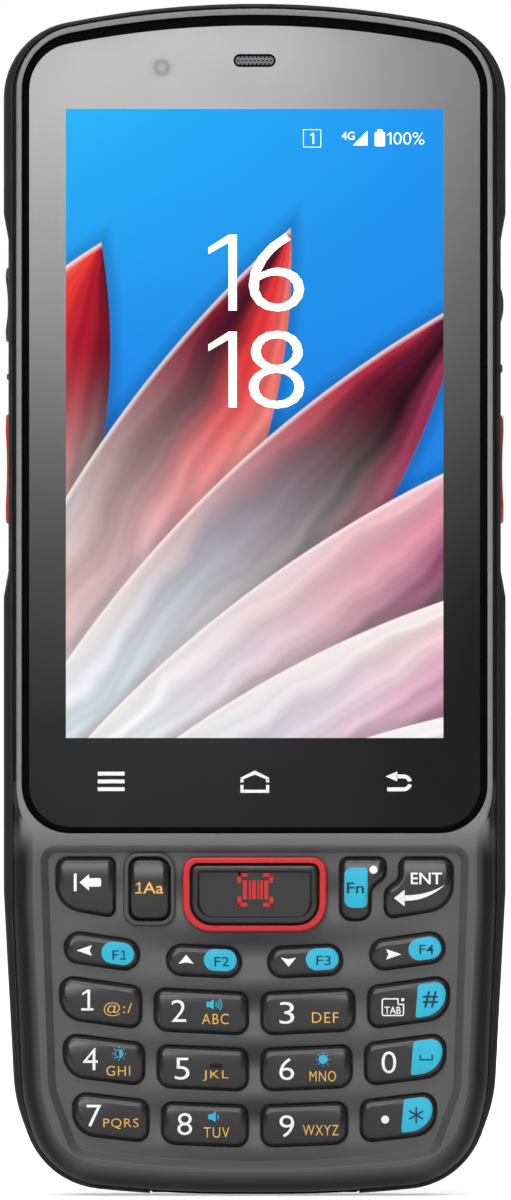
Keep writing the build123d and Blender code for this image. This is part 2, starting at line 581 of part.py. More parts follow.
def head_openings():
    """The scanner's mouth and seat, the rear camera, the flash and the loudspeaker slots."""
    through = HEAD_INSIDE - 1
    openings = [
        block(-SCAN_HALF_WIDTH + 0.9, SCAN_HALF_WIDTH - 0.9, SCAN_FRONT + 0.7, SCAN_BACK - 0.7, 158, 165),
        block(-SCAN_HALF_WIDTH - 0.1, SCAN_HALF_WIDTH + 0.1, SCAN_FRONT - 0.1, SCAN_BACK + 0.1,
              SCAN_WINDOW_LOW, 165),
        rod_y(REAR_CAM_X, REAR_CAM_Z, REAR_CAM_R + 0.1, through, HEAD_BACK + 1),
        rod_y(REAR_CAM_X, REAR_CAM_Z, REAR_WINDOW_R + 0.1, HEAD_BACK - 0.8, HEAD_BACK + 1),
        rod_y(REAR_CAM_X, FLASH_Z, FLASH_R + 0.05, through, HEAD_BACK + 1),
    ]
    for i in range(SPEAKER_SLOTS):
        z = SPEAKER_Z + (i - (SPEAKER_SLOTS - 1) / 2) * SPEAKER_PITCH
        slot = Pos(SPEAKER_X, z) * SlotOverall(SPEAKER_SLOT_LENGTH, SPEAKER_SLOT_HEIGHT)
        openings.append(slab(slot, through, HEAD_BACK + 1))
    return openings


def foot_openings():
    """The bottom port with its hinge pocket and socket hole, the dock pads and the lanyard recess."""
    lanyard = rounded(LANYARD_X - LANYARD_HALF_WIDTH, LANYARD_X + LANYARD_HALF_WIDTH,
                      LANYARD_Z - LANYARD_HALF_HEIGHT, LANYARD_Z + LANYARD_HALF_HEIGHT, 1.2)
    openings = [
        block(-PORT_HALF_WIDTH, PORT_HALF_WIDTH, LIP_FRONT - 1, PORT_BACK_Y, -2, PORT_CEILING),
        rod_x(0, HINGE_Y, HINGE_Z, KNUCKLE_R + 0.12, 2 * PORT_HALF_WIDTH),
        usb_section(USB_LENGTH + 0.4, USB_HEIGHT + 0.3, 0.5, 5.0),
        slab(lanyard, 3.0, BODY_BACK + 1),
        rod_x(LANYARD_X, LANYARD_Y, LANYARD_Z, LANYARD_BAR_R + 0.02, 8.0),
    ]
    for x in dock_pad_centres():
        openings.append(block(x - DOCK_PAD_HALF_WIDTH, x + DOCK_PAD_HALF_WIDTH, BODY_INSIDE - 0.5,
                              BODY_BACK + 1, DOCK_LOW, DOCK_HIGH))
    return openings


def screw_places():
    """Every housing screw as (x, z, back face it sinks into)."""
    return [(side * x, z, back) for x, z, back in SCREWS for side in (-1, 1)]


def rear_housing():
    """The tub that carries everything: lip, side recesses, battery bay, scanner head, port recess."""
    housing = housing_shell()
    for cut in housing_cavities() + head_openings() + foot_openings():
        housing -= cut
    for control in SIDE_CONTROLS.values():
        housing -= control.opening()
    housing += side_nub(-1, 112.65, 0.45)
    housing += side_nub(1, 113.8, 0.6)
    for x, z, back in screw_places():
        if back == HEAD_BACK:
            housing += rod_y(x, z, 2.3, COVER_BACK, HEAD_INSIDE + 0.1)
        housing -= rod_y(x, z, SCREW_HEAD_R + 0.1, back - SCREW_SINK, back + 1)
        housing -= rod_y(x, z, SCREW_SHANK_R, back - SCREW_LENGTH - 0.5, back)
    return housing


def usb_section(length, height, z_low, z_high):
    """A slot-shaped bar up through the bottom wall, round the port's middle."""
    plane = Plane(origin=(0, USB_Y, z_low), x_dir=(1, 0, 0), z_dir=(0, 0, 1))
    return extrude(plane * SlotOverall(length, height), amount=z_high - z_low)


def usb_connector():
    """A thin-walled socket with its contact tongue, mouth downwards."""
    socket = usb_section(USB_LENGTH, USB_HEIGHT, USB_LOW, USB_HIGH)
    socket -= usb_section(USB_LENGTH - 2 * USB_WALL, USB_HEIGHT - 2 * USB_WALL, USB_LOW - 0.1, USB_HIGH - 0.8)
    return socket + block(-3.3, 3.3, USB_Y - 0.35, USB_Y + 0.35, USB_LOW + 0.7, USB_HIGH - 0.6)


def port_cover():
    """The rubber lid over the bottom port: a plate that follows the bowed end, a plug and a hinge roll."""
    half_width = PORT_HALF_WIDTH - 0.2
    outline = above_bottom_bow(0.15) & rounded(-half_width, half_width, -0.5, 1.25, 0.3)
    plate = slab(outline, COVER_BACK + 0.15, HINGE_Y)
    roll = rod_x(0, HINGE_Y, HINGE_Z, KNUCKLE_R, 2 * half_width - 0.2)
    return plate + roll + usb_section(7.6, 2.0, 1.0, 2.45)


def seal_ring(shrink):
    """The battery seal's ring, or its groove in the housing when nothing is taken off."""
    inset = SEAL_WIDTH - 2 * shrink
    outline = centred(SEAL_HALF_WIDTH - shrink, SEAL_LOW + shrink, SEAL_HIGH - shrink, 2.4)
    return slab(outline, SEAL_FRONT, DOOR_FRONT) - slab(offset(outline, amount=-inset), 4.5, DOOR_FRONT + 0.1)


def battery_cover():
    """The removable back door, with a row of grip grooves and a thumb hollow beside the latch."""
    door = slab(centred(DOOR_HALF_WIDTH - DOOR_GAP, DOOR_LOW + DOOR_GAP, DOOR_HIGH - DOOR_GAP,
                        DOOR_R - DOOR_GAP), DOOR_FRONT + 0.05, BODY_BACK)
    door = chamfer(door.faces().sort_by(Axis.Y)[-1].edges(), 0.25)
    groove_back, groove_depth = BODY_BACK + 1, 0.35
    for i in range(5):
        groove = Pos(0, 74.0 + i * 2.0) * SlotOverall(18.0, 0.9)
        door -= slab(groove, BODY_BACK - groove_depth, groove_back)
    thumb = Pos(0, BODY_BACK + 8.2, DOOR_HIGH) * Sphere(9.0)
    return door - thumb


def battery_latch():
    """The sliding latch above the door, with thumb ridges."""
    latch = slab(centred(LATCH_HALF_WIDTH, LATCH_LOW, LATCH_HIGH, 0.8), LATCH_FRONT, LATCH_BACK)
    for i in range(4):
        z = LATCH_LOW + 1.3 + i * 1.1
        latch += block(-4.5, 4.5, LATCH_BACK - 0.1, LATCH_BACK + 0.35, z - 0.3, z + 0.3)
    return latch


def battery_pack():
    """The battery in its bay."""
    pack = slab(centred(BAY_HALF_WIDTH - 0.4, BAY_LOW + 0.4, BAY_HIGH - 0.4, 1.2), FLOOR_BACK + 0.1,
                DOOR_FRONT - 0.2)
    return chamfer(pack.faces().sort_by(Axis.Y)[-1].edges(), 0.4)


def battery_contacts():
    """The contact block that the battery pushes on, through the bay's floor."""
    return block(-CONTACT_HALF_WIDTH, CONTACT_HALF_WIDTH, MAIN_BOARD_BACK + 0.05, FLOOR_BACK + 0.05,
                 CONTACT_LOW, CONTACT_HIGH)


def main_board():
    """The main circuit board, notched for the bottom port and the head's screw bosses."""
    board = slab(offset(INSERT, amount=-4.1), MAIN_BOARD_FRONT, MAIN_BOARD_BACK)
    board -= block(-5.2, 5.2, -6, 0, -5, 9.8)
    for x, z, back in screw_places():
        if back == HEAD_BACK:
            board -= rod_y(x, z, 2.6, -6, 0)
    return board


def shield_cans():
    """Four tinned covers over the circuits of the main board."""
    places = [(-24, -4, 96, 116), (4, 26, 100, 118), (-22, 20, 54, 76), (-20, -6, 20, 44)]
    return Compound([slab(rounded(*place, 0.8), MAIN_BOARD_BACK, -2.5).solid() for place in places])


def scan_window():
    """The filter pane in the top end that the scanner looks through."""
    return block(-SCAN_HALF_WIDTH, SCAN_HALF_WIDTH, SCAN_FRONT, SCAN_BACK, SCAN_WINDOW_LOW, SCAN_WINDOW_HIGH)


def scan_engine():
    """The imaging engine, looking up: a block with a lens in its bore and a pocket for the lamps."""
    lens_x, lens_y, bore_depth = -4.2, 4.8, 2.4
    body = block(-ENGINE_HALF_WIDTH, ENGINE_HALF_WIDTH, ENGINE_FRONT, ENGINE_BACK, ENGINE_LOW, ENGINE_HIGH)
    body -= Pos(lens_x, lens_y, ENGINE_HIGH) * Cylinder(2.7, 2 * bore_depth)
    body += Pos(lens_x, lens_y, ENGINE_HIGH - bore_depth) * Cylinder(1.8, 2.4)
    return body - block(0.6, 7.4, 3.0, 6.6, ENGINE_HIGH - 1.2, ENGINE_HIGH + 1)


def rear_camera():
    """The rear camera: a round module with a stepped lens opening."""
    front, back = 2.0, HEAD_BACK - 0.9
    camera = rod_y(REAR_CAM_X, REAR_CAM_Z, REAR_CAM_R, front, back)
    camera -= rod_y(REAR_CAM_X, REAR_CAM_Z, 2.2, back - 0.4, back + 1)
    return camera - rod_y(REAR_CAM_X, REAR_CAM_Z, 1.3, back - 1.2, back)


def loudspeaker():
    """The loudspeaker box behind its slots."""
    return block(SPEAKER_X - 6.5, SPEAKER_X + 6.5, 5.6, HEAD_INSIDE - 0.2, SPEAKER_Z - 6.5, SPEAKER_Z + 6.5)


def housing_screws():
    """Six pan-head screws in their counterbores."""
    screws = []
    for x, z, back in screw_places():
        head = rod_y(x, z, SCREW_HEAD_R, back - SCREW_SINK, back - 0.4)
        shank = rod_y(x, z, SCREW_SHANK_R, back - SCREW_LENGTH, back - SCREW_SINK)
        screws.append((head + shank).solid())
    return Compound(screws)


def dock_pad_centres():
    """The x of each charging pad."""
    return [(i - (DOCK_PADS - 1) / 2) * DOCK_PITCH for i in range(DOCK_PADS)]


def dock_contacts():
    """The charging pads in the back, near the bottom end."""
    pads = [block(x - DOCK_PAD_HALF_WIDTH, x + DOCK_PAD_HALF_WIDTH, BODY_INSIDE, BODY_BACK - 0.25, DOCK_LOW,
                  DOCK_HIGH).solid() for x in dock_pad_centres()]
    return Compound(pads)


def main():
    """Build every sub-part and write its STEP file."""
    os.makedirs("parts", exist_ok=True)
    nodes = {
        "front_cover": front_cover(),
        "cover_glass": cover_glass(),
        "glass_gasket": glass_gasket(),
        "display_panel": display_panel(),
        "front_camera": front_camera(),
        "earpiece_mesh": earpiece_mesh(),
        "earpiece_receiver": earpiece_receiver(),
        "mid_frame": mid_frame(),
        "keypad_mat": keypad_mat(),
        "dome_sheet": dome_sheet(),
        "keypad_board": keypad_board(),
        "key_ring_alpha": key_ring(ALPHA_RING, KEY["key_alpha"], ALPHA_RING_FRONT),
        "key_ring_scan": key_ring(SCAN_RING, KEY["key_scan"], SCAN_RING_FRONT),
        "main_board": main_board(),
        "shield_cans": shield_cans(),
        "rear_housing": rear_housing(),
        "battery_cover": battery_cover(),
        "battery_latch": battery_latch(),
        "battery_pack": battery_pack(),
        "battery_seal": seal_ring(SEAT_GAP),
        "battery_contacts": battery_contacts(),
        "scan_window": scan_window(),
        "scan_engine": scan_engine(),
        "rear_camera": rear_camera(),
        "rear_camera_window": rod_y(REAR_CAM_X, REAR_CAM_Z, REAR_WINDOW_R, HEAD_BACK - 0.8, HEAD_BACK - 0.2),
        "flash_lens": rod_y(REAR_CAM_X, FLASH_Z, FLASH_R, HEAD_INSIDE - 0.5, HEAD_BACK - 0.15),
        "loudspeaker": loudspeaker(),
        "vibration_motor": rod_y(MOTOR_X, MOTOR_Z, MOTOR_R, MAIN_BOARD_BACK, MAIN_BOARD_BACK + 2.7),
        "usb_connector": usb_connector(),
        "port_cover": port_cover(),
        "dock_contacts": dock_contacts(),
        "side_switches": side_switches(),
        "scan_button_left": scan_button("scan_button_left"),
        "scan_button_right": scan_button("scan_button_right"),
        "volume_rocker": volume_rocker(),
        "power_button": power_button(),
        "housing_screws": housing_screws(),
        "lanyard_bar": rod_x(LANYARD_X, LANYARD_Y, LANYARD_Z, LANYARD_BAR_R, 7.9),
    }
    for key in KEYS:
        nodes[key.name] = scan_cap(key) if key.name == "key_scan" else key_cap(key)
    for name, shape in nodes.items():
        export_step(shape, f"parts/{name}.step")


main()
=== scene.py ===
"""Looks of a handheld data terminal: finishes, lit screen, printed legends and fine hardware.

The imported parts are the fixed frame. Everything here is in metres in that frame: +Z runs up the
device, the screen and keys face -Y and +X is the user's right. Shapes are drawn in millimetres.
"""

from __future__ import annotations

import json
import logging
import math
from dataclasses import dataclass
from enum import Enum, auto
from typing import Sequence

import bmesh
import bpy
from bpy.types import Material, Node, NodeSocket, NodeTree
from mathutils import Matrix, Vector
from mathutils.bvhtree import BVHTree


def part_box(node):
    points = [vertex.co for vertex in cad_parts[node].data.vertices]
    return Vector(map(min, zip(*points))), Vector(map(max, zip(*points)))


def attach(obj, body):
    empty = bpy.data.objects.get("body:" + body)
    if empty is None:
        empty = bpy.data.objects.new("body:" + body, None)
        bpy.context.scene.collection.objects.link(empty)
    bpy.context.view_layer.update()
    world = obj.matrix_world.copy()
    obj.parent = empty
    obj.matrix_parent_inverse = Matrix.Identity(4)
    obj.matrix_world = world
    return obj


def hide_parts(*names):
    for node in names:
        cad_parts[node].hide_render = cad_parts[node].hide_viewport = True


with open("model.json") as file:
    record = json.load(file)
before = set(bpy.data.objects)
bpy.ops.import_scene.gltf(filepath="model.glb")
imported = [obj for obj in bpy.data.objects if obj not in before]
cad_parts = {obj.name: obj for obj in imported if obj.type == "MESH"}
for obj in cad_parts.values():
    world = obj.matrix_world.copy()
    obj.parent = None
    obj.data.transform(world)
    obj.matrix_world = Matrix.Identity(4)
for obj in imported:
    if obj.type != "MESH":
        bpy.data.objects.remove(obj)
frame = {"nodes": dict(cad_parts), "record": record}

LOG = logging.getLogger("data_terminal")
MM = 0.001
CASING = "casing"
ROW_CENTRE_Z = 177.0    # the key rows are rings round this height on the middle line
FRONT_Y = -10.5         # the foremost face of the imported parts


# ---- colour and node helpers -----------------------------------------------------------------
def linear(colour: str) -> tuple[float, float, float, float]:
    """Turn an sRGB hex colour into linear light.

    Args:
        colour: six hex digits after a hash sign.

    Returns:
        Red, green, blue and a full alpha.
    """
    parts = [int(colour[i:i + 2], 16) / 255 for i in (1, 3, 5)]
    red, green, blue = (c / 12.92 if c <= 0.04045 else ((c + 0.055) / 1.055) ** 2.4 for c in parts)
    return red, green, blue, 1.0


def add(tree: NodeTree, kind: str, inputs: dict | None = None, **settings) -> Node:
    """Add a node with its settings, values and links.

    Args:
        tree: the node tree.
        kind: the node's type name.
        inputs: input name or number to a value, or to the socket that feeds it.
        **settings: properties of the node itself.

    Returns:
        The new node.
    """
    made = tree.nodes.new(kind)
    for name, value in settings.items():
        setattr(made, name, value)
    for name, value in (inputs or {}).items():
        if isinstance(value, NodeSocket):
            tree.links.new(value, made.inputs[name])
        else:
            made.inputs[name].default_value = value
    return made


def per_mm(size_mm: float) -> float:
    """The texture scale that gives features of a size in millimetres."""
    return 1.0 / (size_mm * MM)


def new_material(name: str, kind: str = "ShaderNodeBsdfPrincipled") -> tuple[Material, NodeTree, Node]:
    """Make an empty node material.

    Args:
        name: the material's name.
        kind: the type name of its surface shader.

    Returns:
        The material, its tree, and its surface shader, already linked to the output.
    """
    material = bpy.data.materials.new(name)
    material.use_nodes = True
    tree = material.node_tree
    tree.nodes.clear()
    shader = add(tree, kind)
    add(tree, "ShaderNodeOutputMaterial", {"Surface": shader.outputs[0]})
    return material, tree, shader


# ---- finishes --------------------------------------------------------------------------------
@dataclass(frozen=True)
class MouldedPlastic:
    """Injection-moulded plastic: a spark-eroded grain, faint flow mottling and paler edges, partly wear and
    partly painted highlight.

    The real grain is 0.05 to 0.1 mm, too fine to show, so it is drawn a few times coarser.
    """

    name: str
    colour: str
    mottle: str
    roughness: float = 0.5
    grain_mm: float = 0.35
    grain_height_mm: float = 0.012
    edge_wear_and_highlight_colour: str | None = None
    edge_mm: float = 0.3
    specular: float = 0.35
    mottle_mm: float = 9.0
    gloss_range: float = 0.04
    wear_and_highlight_mm: float = 3.0
    wear_and_highlight_most: float = 0.8
    wear_and_highlight_turn: tuple[float, float] = (0.995, 0.9)    # cosine of the turn where the pale edge starts and is full

    def tone(self, tree: NodeTree, place: NodeSocket, colour: NodeSocket) -> NodeSocket:
        """Vary the colour over the piece. Plain plastic keeps it."""
        return colour

    def relief(self, tree: NodeTree, place: NodeSocket, normal: NodeSocket) -> NodeSocket:
        """Add relief broader than the grain. Plain plastic has none."""
        return normal

    def paint_edge_wear_and_highlight(self, tree: NodeTree, place: NodeSocket, colour: NodeSocket,
                  rounded: NodeSocket) -> NodeSocket:
        """Paint the edges paler, in patches: partly wear, partly painted highlight.

        Args:
            tree: the node tree.
            place: the point, in object space.
            colour: the colour so far.
            rounded: the normal with the edges rounded.

        Returns:
            The new colour.
        """
        flat = add(tree, "ShaderNodeNewGeometry").outputs["Normal"]
        facing = add(tree, "ShaderNodeVectorMath", {0: rounded, 1: flat}, operation="DOT_PRODUCT")
        edge = add(tree, "ShaderNodeMapRange", {
            "Value": facing.outputs["Value"], "From Min": self.wear_and_highlight_turn[0], "From Max": self.wear_and_highlight_turn[1],
            "To Max": self.wear_and_highlight_most})
        patchy = add(tree, "ShaderNodeTexNoise", {"Vector": place, "Scale": per_mm(self.wear_and_highlight_mm),
                                                  "Detail": 3.0})
        wear_and_highlight = add(tree, "ShaderNodeMath", {0: edge.outputs["Result"], 1: patchy.outputs["Fac"]},
                   operation="MULTIPLY")
        return add(tree, "ShaderNodeMix", {0: wear_and_highlight.outputs["Value"], 6: colour, 7: linear(self.edge_wear_and_highlight_colour)},
                   data_type="RGBA").outputs[2]

    def build(self) -> Material:
        """Make the material.

        Returns:
            The material.
        """
        material, tree, shader = new_material(self.name)
        place = add(tree, "ShaderNodeTexCoord").outputs["Object"]
        cloud = add(tree, "ShaderNodeTexNoise", {"Vector": place, "Scale": per_mm(self.mottle_mm),
                                                 "Detail": 4.0}).outputs["Fac"]
        colour = add(tree, "ShaderNodeMix", {0: cloud, 6: linear(self.colour), 7: linear(self.mottle)},
                     data_type="RGBA").outputs[2]
        rounded = add(tree, "ShaderNodeBevel", {"Radius": self.edge_mm * MM}, samples=4).outputs["Normal"]
        # pale edges: wear, and also painted highlight along the edges
        if self.edge_wear_and_highlight_colour:
            colour = self.paint_edge_wear_and_highlight(tree, place, colour, rounded)
        tree.links.new(self.tone(tree, place, colour), shader.inputs["Base Color"])
        gloss = add(tree, "ShaderNodeMapRange", {"Value": cloud, "To Min": self.roughness - self.gloss_range,
                                                 "To Max": self.roughness + self.gloss_range})
        tree.links.new(gloss.outputs["Result"], shader.inputs["Roughness"])
        grain = add(tree, "ShaderNodeTexNoise", {"Vector": place, "Scale": per_mm(self.grain_mm),
                                                 "Detail": 2.0})
        bump = add(tree, "ShaderNodeBump", {"Height": grain.outputs["Fac"], "Strength": 0.6,
                                            "Distance": self.grain_height_mm * MM,
                                            "Normal": self.relief(tree, place, rounded)})
        tree.links.new(bump.outputs["Normal"], shader.inputs["Normal"])
        shader.inputs["Specular IOR Level"].default_value = self.specular
        return material


@dataclass(frozen=True)
class CoverPlastic(MouldedPlastic):
    """The front moulding's satin plastic: a paler rim round the screen, faint ripples by the keys, and painted
    shade on the flanks, in the groove, on the deck's walls and in the ripples' valleys.
    """

    rim_colour: str = "#7C7C7C"
    # painted shade: this colour darkens the groove between rim and seal, and the ripples' valleys
    groove_and_valley_shade_colour: str = "#0B0B0B"
    # painted shade: this colour darkens the flanks and the underside where they turn away from the user
    flank_shade_colour: str = "#0F0F0F"
    # painted shade: this colour darkens the deck's walls that face inward
    wall_shade_colour: str = "#303031"
    rim_low_mm: float = 46.0
    rim_high_mm: float = 52.0
    groove_shade_mm: tuple[float, float] = (0.35, 0.8)    # behind the front face, where it starts and is full
    skirt_shade_mm: float = 8.0
    skirt_shade_share: float = 0.7
    half_width_mm: float = 32.0
    flank_shade_turn: tuple[float, float] = (0.01, 0.42)
    wall_shade_turn: tuple[float, float] = (-0.15, -0.6)
    wall_shade_depth: float = 0.3
    ripple_centre_y_mm: float = -9.3
    ripple_start_mm: float = 153.45
    ripple_pitch_mm: float = 7.72
    ripple_height_mm: float = 0.5
    ripple_reach_mm: float = 25.0
    ripple_ends_mm: tuple[tuple[float, float], ...] = ((3.0, 7.0), (46.0, 43.0))    # heights: none, full
    # painted shade: how dark the ripples' valleys are painted
    valley_shade_depth: float = 0.62

    def tone(self, tree: NodeTree, place: NodeSocket, colour: NodeSocket) -> NodeSocket:
        """Lighten the rim round the screen, and paint shade on the flanks, in the groove, on the deck's walls
        and in the ripples' valleys.

        Args:
            tree: the node tree.
            place: the point, in object space.
            colour: the plastic's own colour.

        Returns:
            The colour with each tint laid over it.
        """
        at = add(tree, "ShaderNodeSeparateXYZ", {"Vector": place}).outputs
        way = add(tree, "ShaderNodeSeparateXYZ",
                  {"Vector": add(tree, "ShaderNodeNewGeometry").outputs["Normal"]}).outputs
        high = add(tree, "ShaderNodeMapRange", {"Value": at["Z"], "From Min": self.rim_low_mm * MM,
                                                "From Max": self.rim_high_mm * MM},
                   interpolation_type="SMOOTHSTEP").outputs["Result"]
        side = add(tree, "ShaderNodeMath", {0: at["X"], 1: per_mm(self.half_width_mm)}, operation="MULTIPLY")
        outward = add(tree, "ShaderNodeMath", {0: side.outputs["Value"], 1: way["X"]},
                      operation="MULTIPLY").outputs["Value"]
        # painted shade on the deck's inward walls
        wall = add(tree, "ShaderNodeMapRange", {
            "Value": outward, "From Min": self.wall_shade_turn[0], "From Max": self.wall_shade_turn[1],
            "To Max": self.wall_shade_depth})
        # the rim's tint is a paler grey; the other four tints are painted shade
        for amount, tint in ((high, self.rim_colour),
                             (self.paint_flank_shade(tree, at["Z"], way["Z"], outward, high), self.flank_shade_colour),
                             (self.paint_groove_shade(tree, at["Y"], high), self.groove_and_valley_shade_colour),
                             (wall.outputs["Result"], self.wall_shade_colour),
                             (self.paint_valley_shade(tree, place), self.groove_and_valley_shade_colour)):
            colour = add(tree, "ShaderNodeMix", {0: amount, 6: colour, 7: linear(tint)},
                         data_type="RGBA").outputs[2]
        return colour

    def paint_flank_shade(self, tree: NodeTree, z: NodeSocket, up: NodeSocket, outward: NodeSocket,
              high: NodeSocket) -> NodeSocket:
        """Find where to paint shade: how far a point below the rim turns away from the user, to the sides or
        under the foot.

        Args:
            tree: the node tree.
            z: the point's height.
            up: the upward part of its normal.
            outward: how far it turns to the nearer side.
            high: 1 on the rim.

        Returns:
            0 on the face and 1 where the flank is fully painted in shade.
        """
        skirt = add(tree, "ShaderNodeMapRange", {"Value": z, "From Min": self.skirt_shade_mm * MM, "From Max": 0.0,
                                                 "To Max": -self.skirt_shade_share})
        down = add(tree, "ShaderNodeMath", {0: skirt.outputs["Result"], 1: up}, operation="MULTIPLY")
        turned = add(tree, "ShaderNodeMath", {0: outward, 1: down.outputs["Value"]}, operation="MAXIMUM")
        paint_flank_shade = add(tree, "ShaderNodeMapRange", {
            "Value": turned.outputs["Value"], "From Min": self.flank_shade_turn[0], "From Max": self.flank_shade_turn[1]})
        soft = add(tree, "ShaderNodeMath", {0: paint_flank_shade.outputs["Result"], 1: 0.5}, operation="POWER")
        low = add(tree, "ShaderNodeMath", {0: 1.0, 1: high}, operation="SUBTRACT")
        return add(tree, "ShaderNodeMath", {0: soft.outputs["Value"], 1: low.outputs["Value"]},
                   operation="MULTIPLY").outputs["Value"]

    def paint_groove_shade(self, tree: NodeTree, y: NodeSocket, high: NodeSocket) -> NodeSocket:
        """Find where shade is painted in the groove between the rim and the seal, by its depth.

        Args:
            tree: the node tree.
            y: the point's depth.
            high: 1 on the rim.

        Returns:
            1 in the groove.
        """
        start, end = self.groove_shade_mm
        deep = add(tree, "ShaderNodeMapRange", {"Value": y, "From Min": (FRONT_Y + start) * MM,
                                                "From Max": (FRONT_Y + end) * MM})
        return add(tree, "ShaderNodeMath", {0: deep.outputs["Result"], 1: high},
                   operation="MULTIPLY").outputs["Value"]

    def paint_valley_shade(self, tree: NodeTree, place: NodeSocket) -> NodeSocket:
        """Find where shade is painted on the sides of the ripples.

        Args:
            tree: the node tree.
            place: the point, in object space.

        Returns:
            How much shade is painted there.
        """
        turn, fade = self.ripple(tree, place)
        slope = add(tree, "ShaderNodeMath", {0: turn}, operation="COSINE").outputs["Value"]
        shaded = add(tree, "ShaderNodeMapRange", {"Value": slope, "From Min": 0.3, "From Max": -1.0,
                                                  "To Max": self.valley_shade_depth})
        return add(tree, "ShaderNodeMath", {0: shaded.outputs["Result"], 1: fade},
                   operation="MULTIPLY").outputs["Value"]

    def ripple(self, tree: NodeTree, place: NodeSocket) -> tuple[NodeSocket, NodeSocket]:
        """Work out where a point is in the ripples.

        Args:
            tree: the node tree.
            place: the point, in object space.

        Returns:
            The wave's angle, and how strong the ripples are there.
        """
        centre = (0, self.ripple_centre_y_mm * MM, ROW_CENTRE_Z * MM)
        reach = add(tree, "ShaderNodeVectorMath", {0: place, 1: centre}, operation="DISTANCE").outputs["Value"]
        step = math.tau / (self.ripple_pitch_mm * MM)
        turn = add(tree, "ShaderNodeMath", {0: reach, 1: step, 2: -self.ripple_start_mm * MM * step},
                   operation="MULTIPLY_ADD").outputs["Value"]
        at = add(tree, "ShaderNodeSeparateXYZ", {"Vector": place}).outputs
        beside = add(tree, "ShaderNodeMath", {0: at["X"]}, operation="ABSOLUTE").outputs["Value"]
        fade = add(tree, "ShaderNodeMapRange", {"Value": beside, "From Min": self.ripple_reach_mm * MM,
                                                "From Max": 0.0}).outputs["Result"]
        for start, full in self.ripple_ends_mm:
            field = add(tree, "ShaderNodeMapRange", {"Value": at["Z"], "From Min": start * MM,
                                                     "From Max": full * MM})
            fade = add(tree, "ShaderNodeMath", {0: fade, 1: field.outputs["Result"]},
                       operation="MULTIPLY").outputs["Value"]
        return turn, fade

    def relief(self, tree: NodeTree, place: NodeSocket, normal: NodeSocket) -> NodeSocket:
        """Roll the floor gently, one wave to a key row, fading towards the sides.

        Args:
            tree: the node tree.
            place: the point, in object space.
            normal: the normal so far.

        Returns:
            The new normal.
        """
        turn, fade = self.ripple(tree, place)
        wave = add(tree, "ShaderNodeMath", {0: turn}, operation="SINE").outputs["Value"]
        height = add(tree, "ShaderNodeMath", {0: wave, 1: fade}, operation="MULTIPLY").outputs["Value"]
        return add(tree, "ShaderNodeBump", {"Height": height, "Strength": 1.0, "Normal": normal,
                                            "Distance": self.ripple_height_mm * MM}).outputs["Normal"]


@dataclass(frozen=True)
class SoftRubber:
    """Moulded rubber: matt, slightly dusty and faintly uneven. Its fine grain is drawn twice the real size."""

    name: str
    colour: str
    dust: str
    roughness: float = 0.75
    specular: float = 0.15
    dust_mm: float = 2.5
    grain_mm: float = 0.25
    grain_height_mm: float = 0.01

    def build(self) -> Material:
        """Make the material.

        Returns:
            The material.
        """
        material, tree, shader = new_material(self.name)
        place = add(tree, "ShaderNodeTexCoord").outputs["Object"]
        cloud = add(tree, "ShaderNodeTexNoise", {"Vector": place, "Scale": per_mm(self.dust_mm), "Detail": 5.0})
        colour = add(tree, "ShaderNodeMix", {0: cloud.outputs["Fac"], 6: linear(self.colour),
                                             7: linear(self.dust)}, data_type="RGBA")
        tree.links.new(colour.outputs[2], shader.inputs["Base Color"])
        fine = add(tree, "ShaderNodeTexNoise", {"Vector": place, "Scale": per_mm(self.grain_mm), "Detail": 2.0})
        bump = add(tree, "ShaderNodeBump", {"Height": fine.outputs["Fac"], "Strength": 0.5,
                                            "Distance": self.grain_height_mm * MM})
        tree.links.new(bump.outputs["Normal"], shader.inputs["Normal"])
        shader.inputs["Roughness"].default_value = self.roughness
        shader.inputs["Specular IOR Level"].default_value = self.specular
        return material


@dataclass(frozen=True)
class Metal:
    """Sheet or plated metal with fine rolling lines along one axis.

    The real lines are about 0.02 mm apart, too fine to show, so they are drawn coarser.
    """

    name: str
    colour: str
    tarnish: str
    roughness: float = 0.3
    line_mm: float = 0.12
    line_height_mm: float = 0.004
    line_stretch: float = 0.08
    smoother: float = 0.08
    rougher: float = 0.12
    tarnish_mm: float = 3.0

    def build(self) -> Material:
        """Make the material.

        Returns:
            The material.
        """
        material, tree, shader = new_material(self.name)
        place = add(tree, "ShaderNodeTexCoord").outputs["Object"]
        drawn = add(tree, "ShaderNodeMapping", {"Vector": place, "Scale": (self.line_stretch, 1.0, 1.0)})
        lines = add(tree, "ShaderNodeTexNoise", {"Vector": drawn.outputs["Vector"],
                                                 "Scale": per_mm(self.line_mm), "Detail": 3.0}).outputs["Fac"]
        cloud = add(tree, "ShaderNodeTexNoise", {"Vector": place, "Scale": per_mm(self.tarnish_mm),
                                                 "Detail": 4.0})
        colour = add(tree, "ShaderNodeMix", {0: cloud.outputs["Fac"], 6: linear(self.colour),
                                             7: linear(self.tarnish)}, data_type="RGBA")
        tree.links.new(colour.outputs[2], shader.inputs["Base Color"])
        gloss = add(tree, "ShaderNodeMapRange", {"Value": lines, "To Min": self.roughness - self.smoother,
                                                 "To Max": self.roughness + self.rougher})
        tree.links.new(gloss.outputs["Result"], shader.inputs["Roughness"])
        bump = add(tree, "ShaderNodeBump", {"Height": lines, "Strength": 0.3,
                                            "Distance": self.line_height_mm * MM})
        tree.links.new(bump.outputs["Normal"], shader.inputs["Normal"])
        shader.inputs["Metallic"].default_value = 1.0
        return material


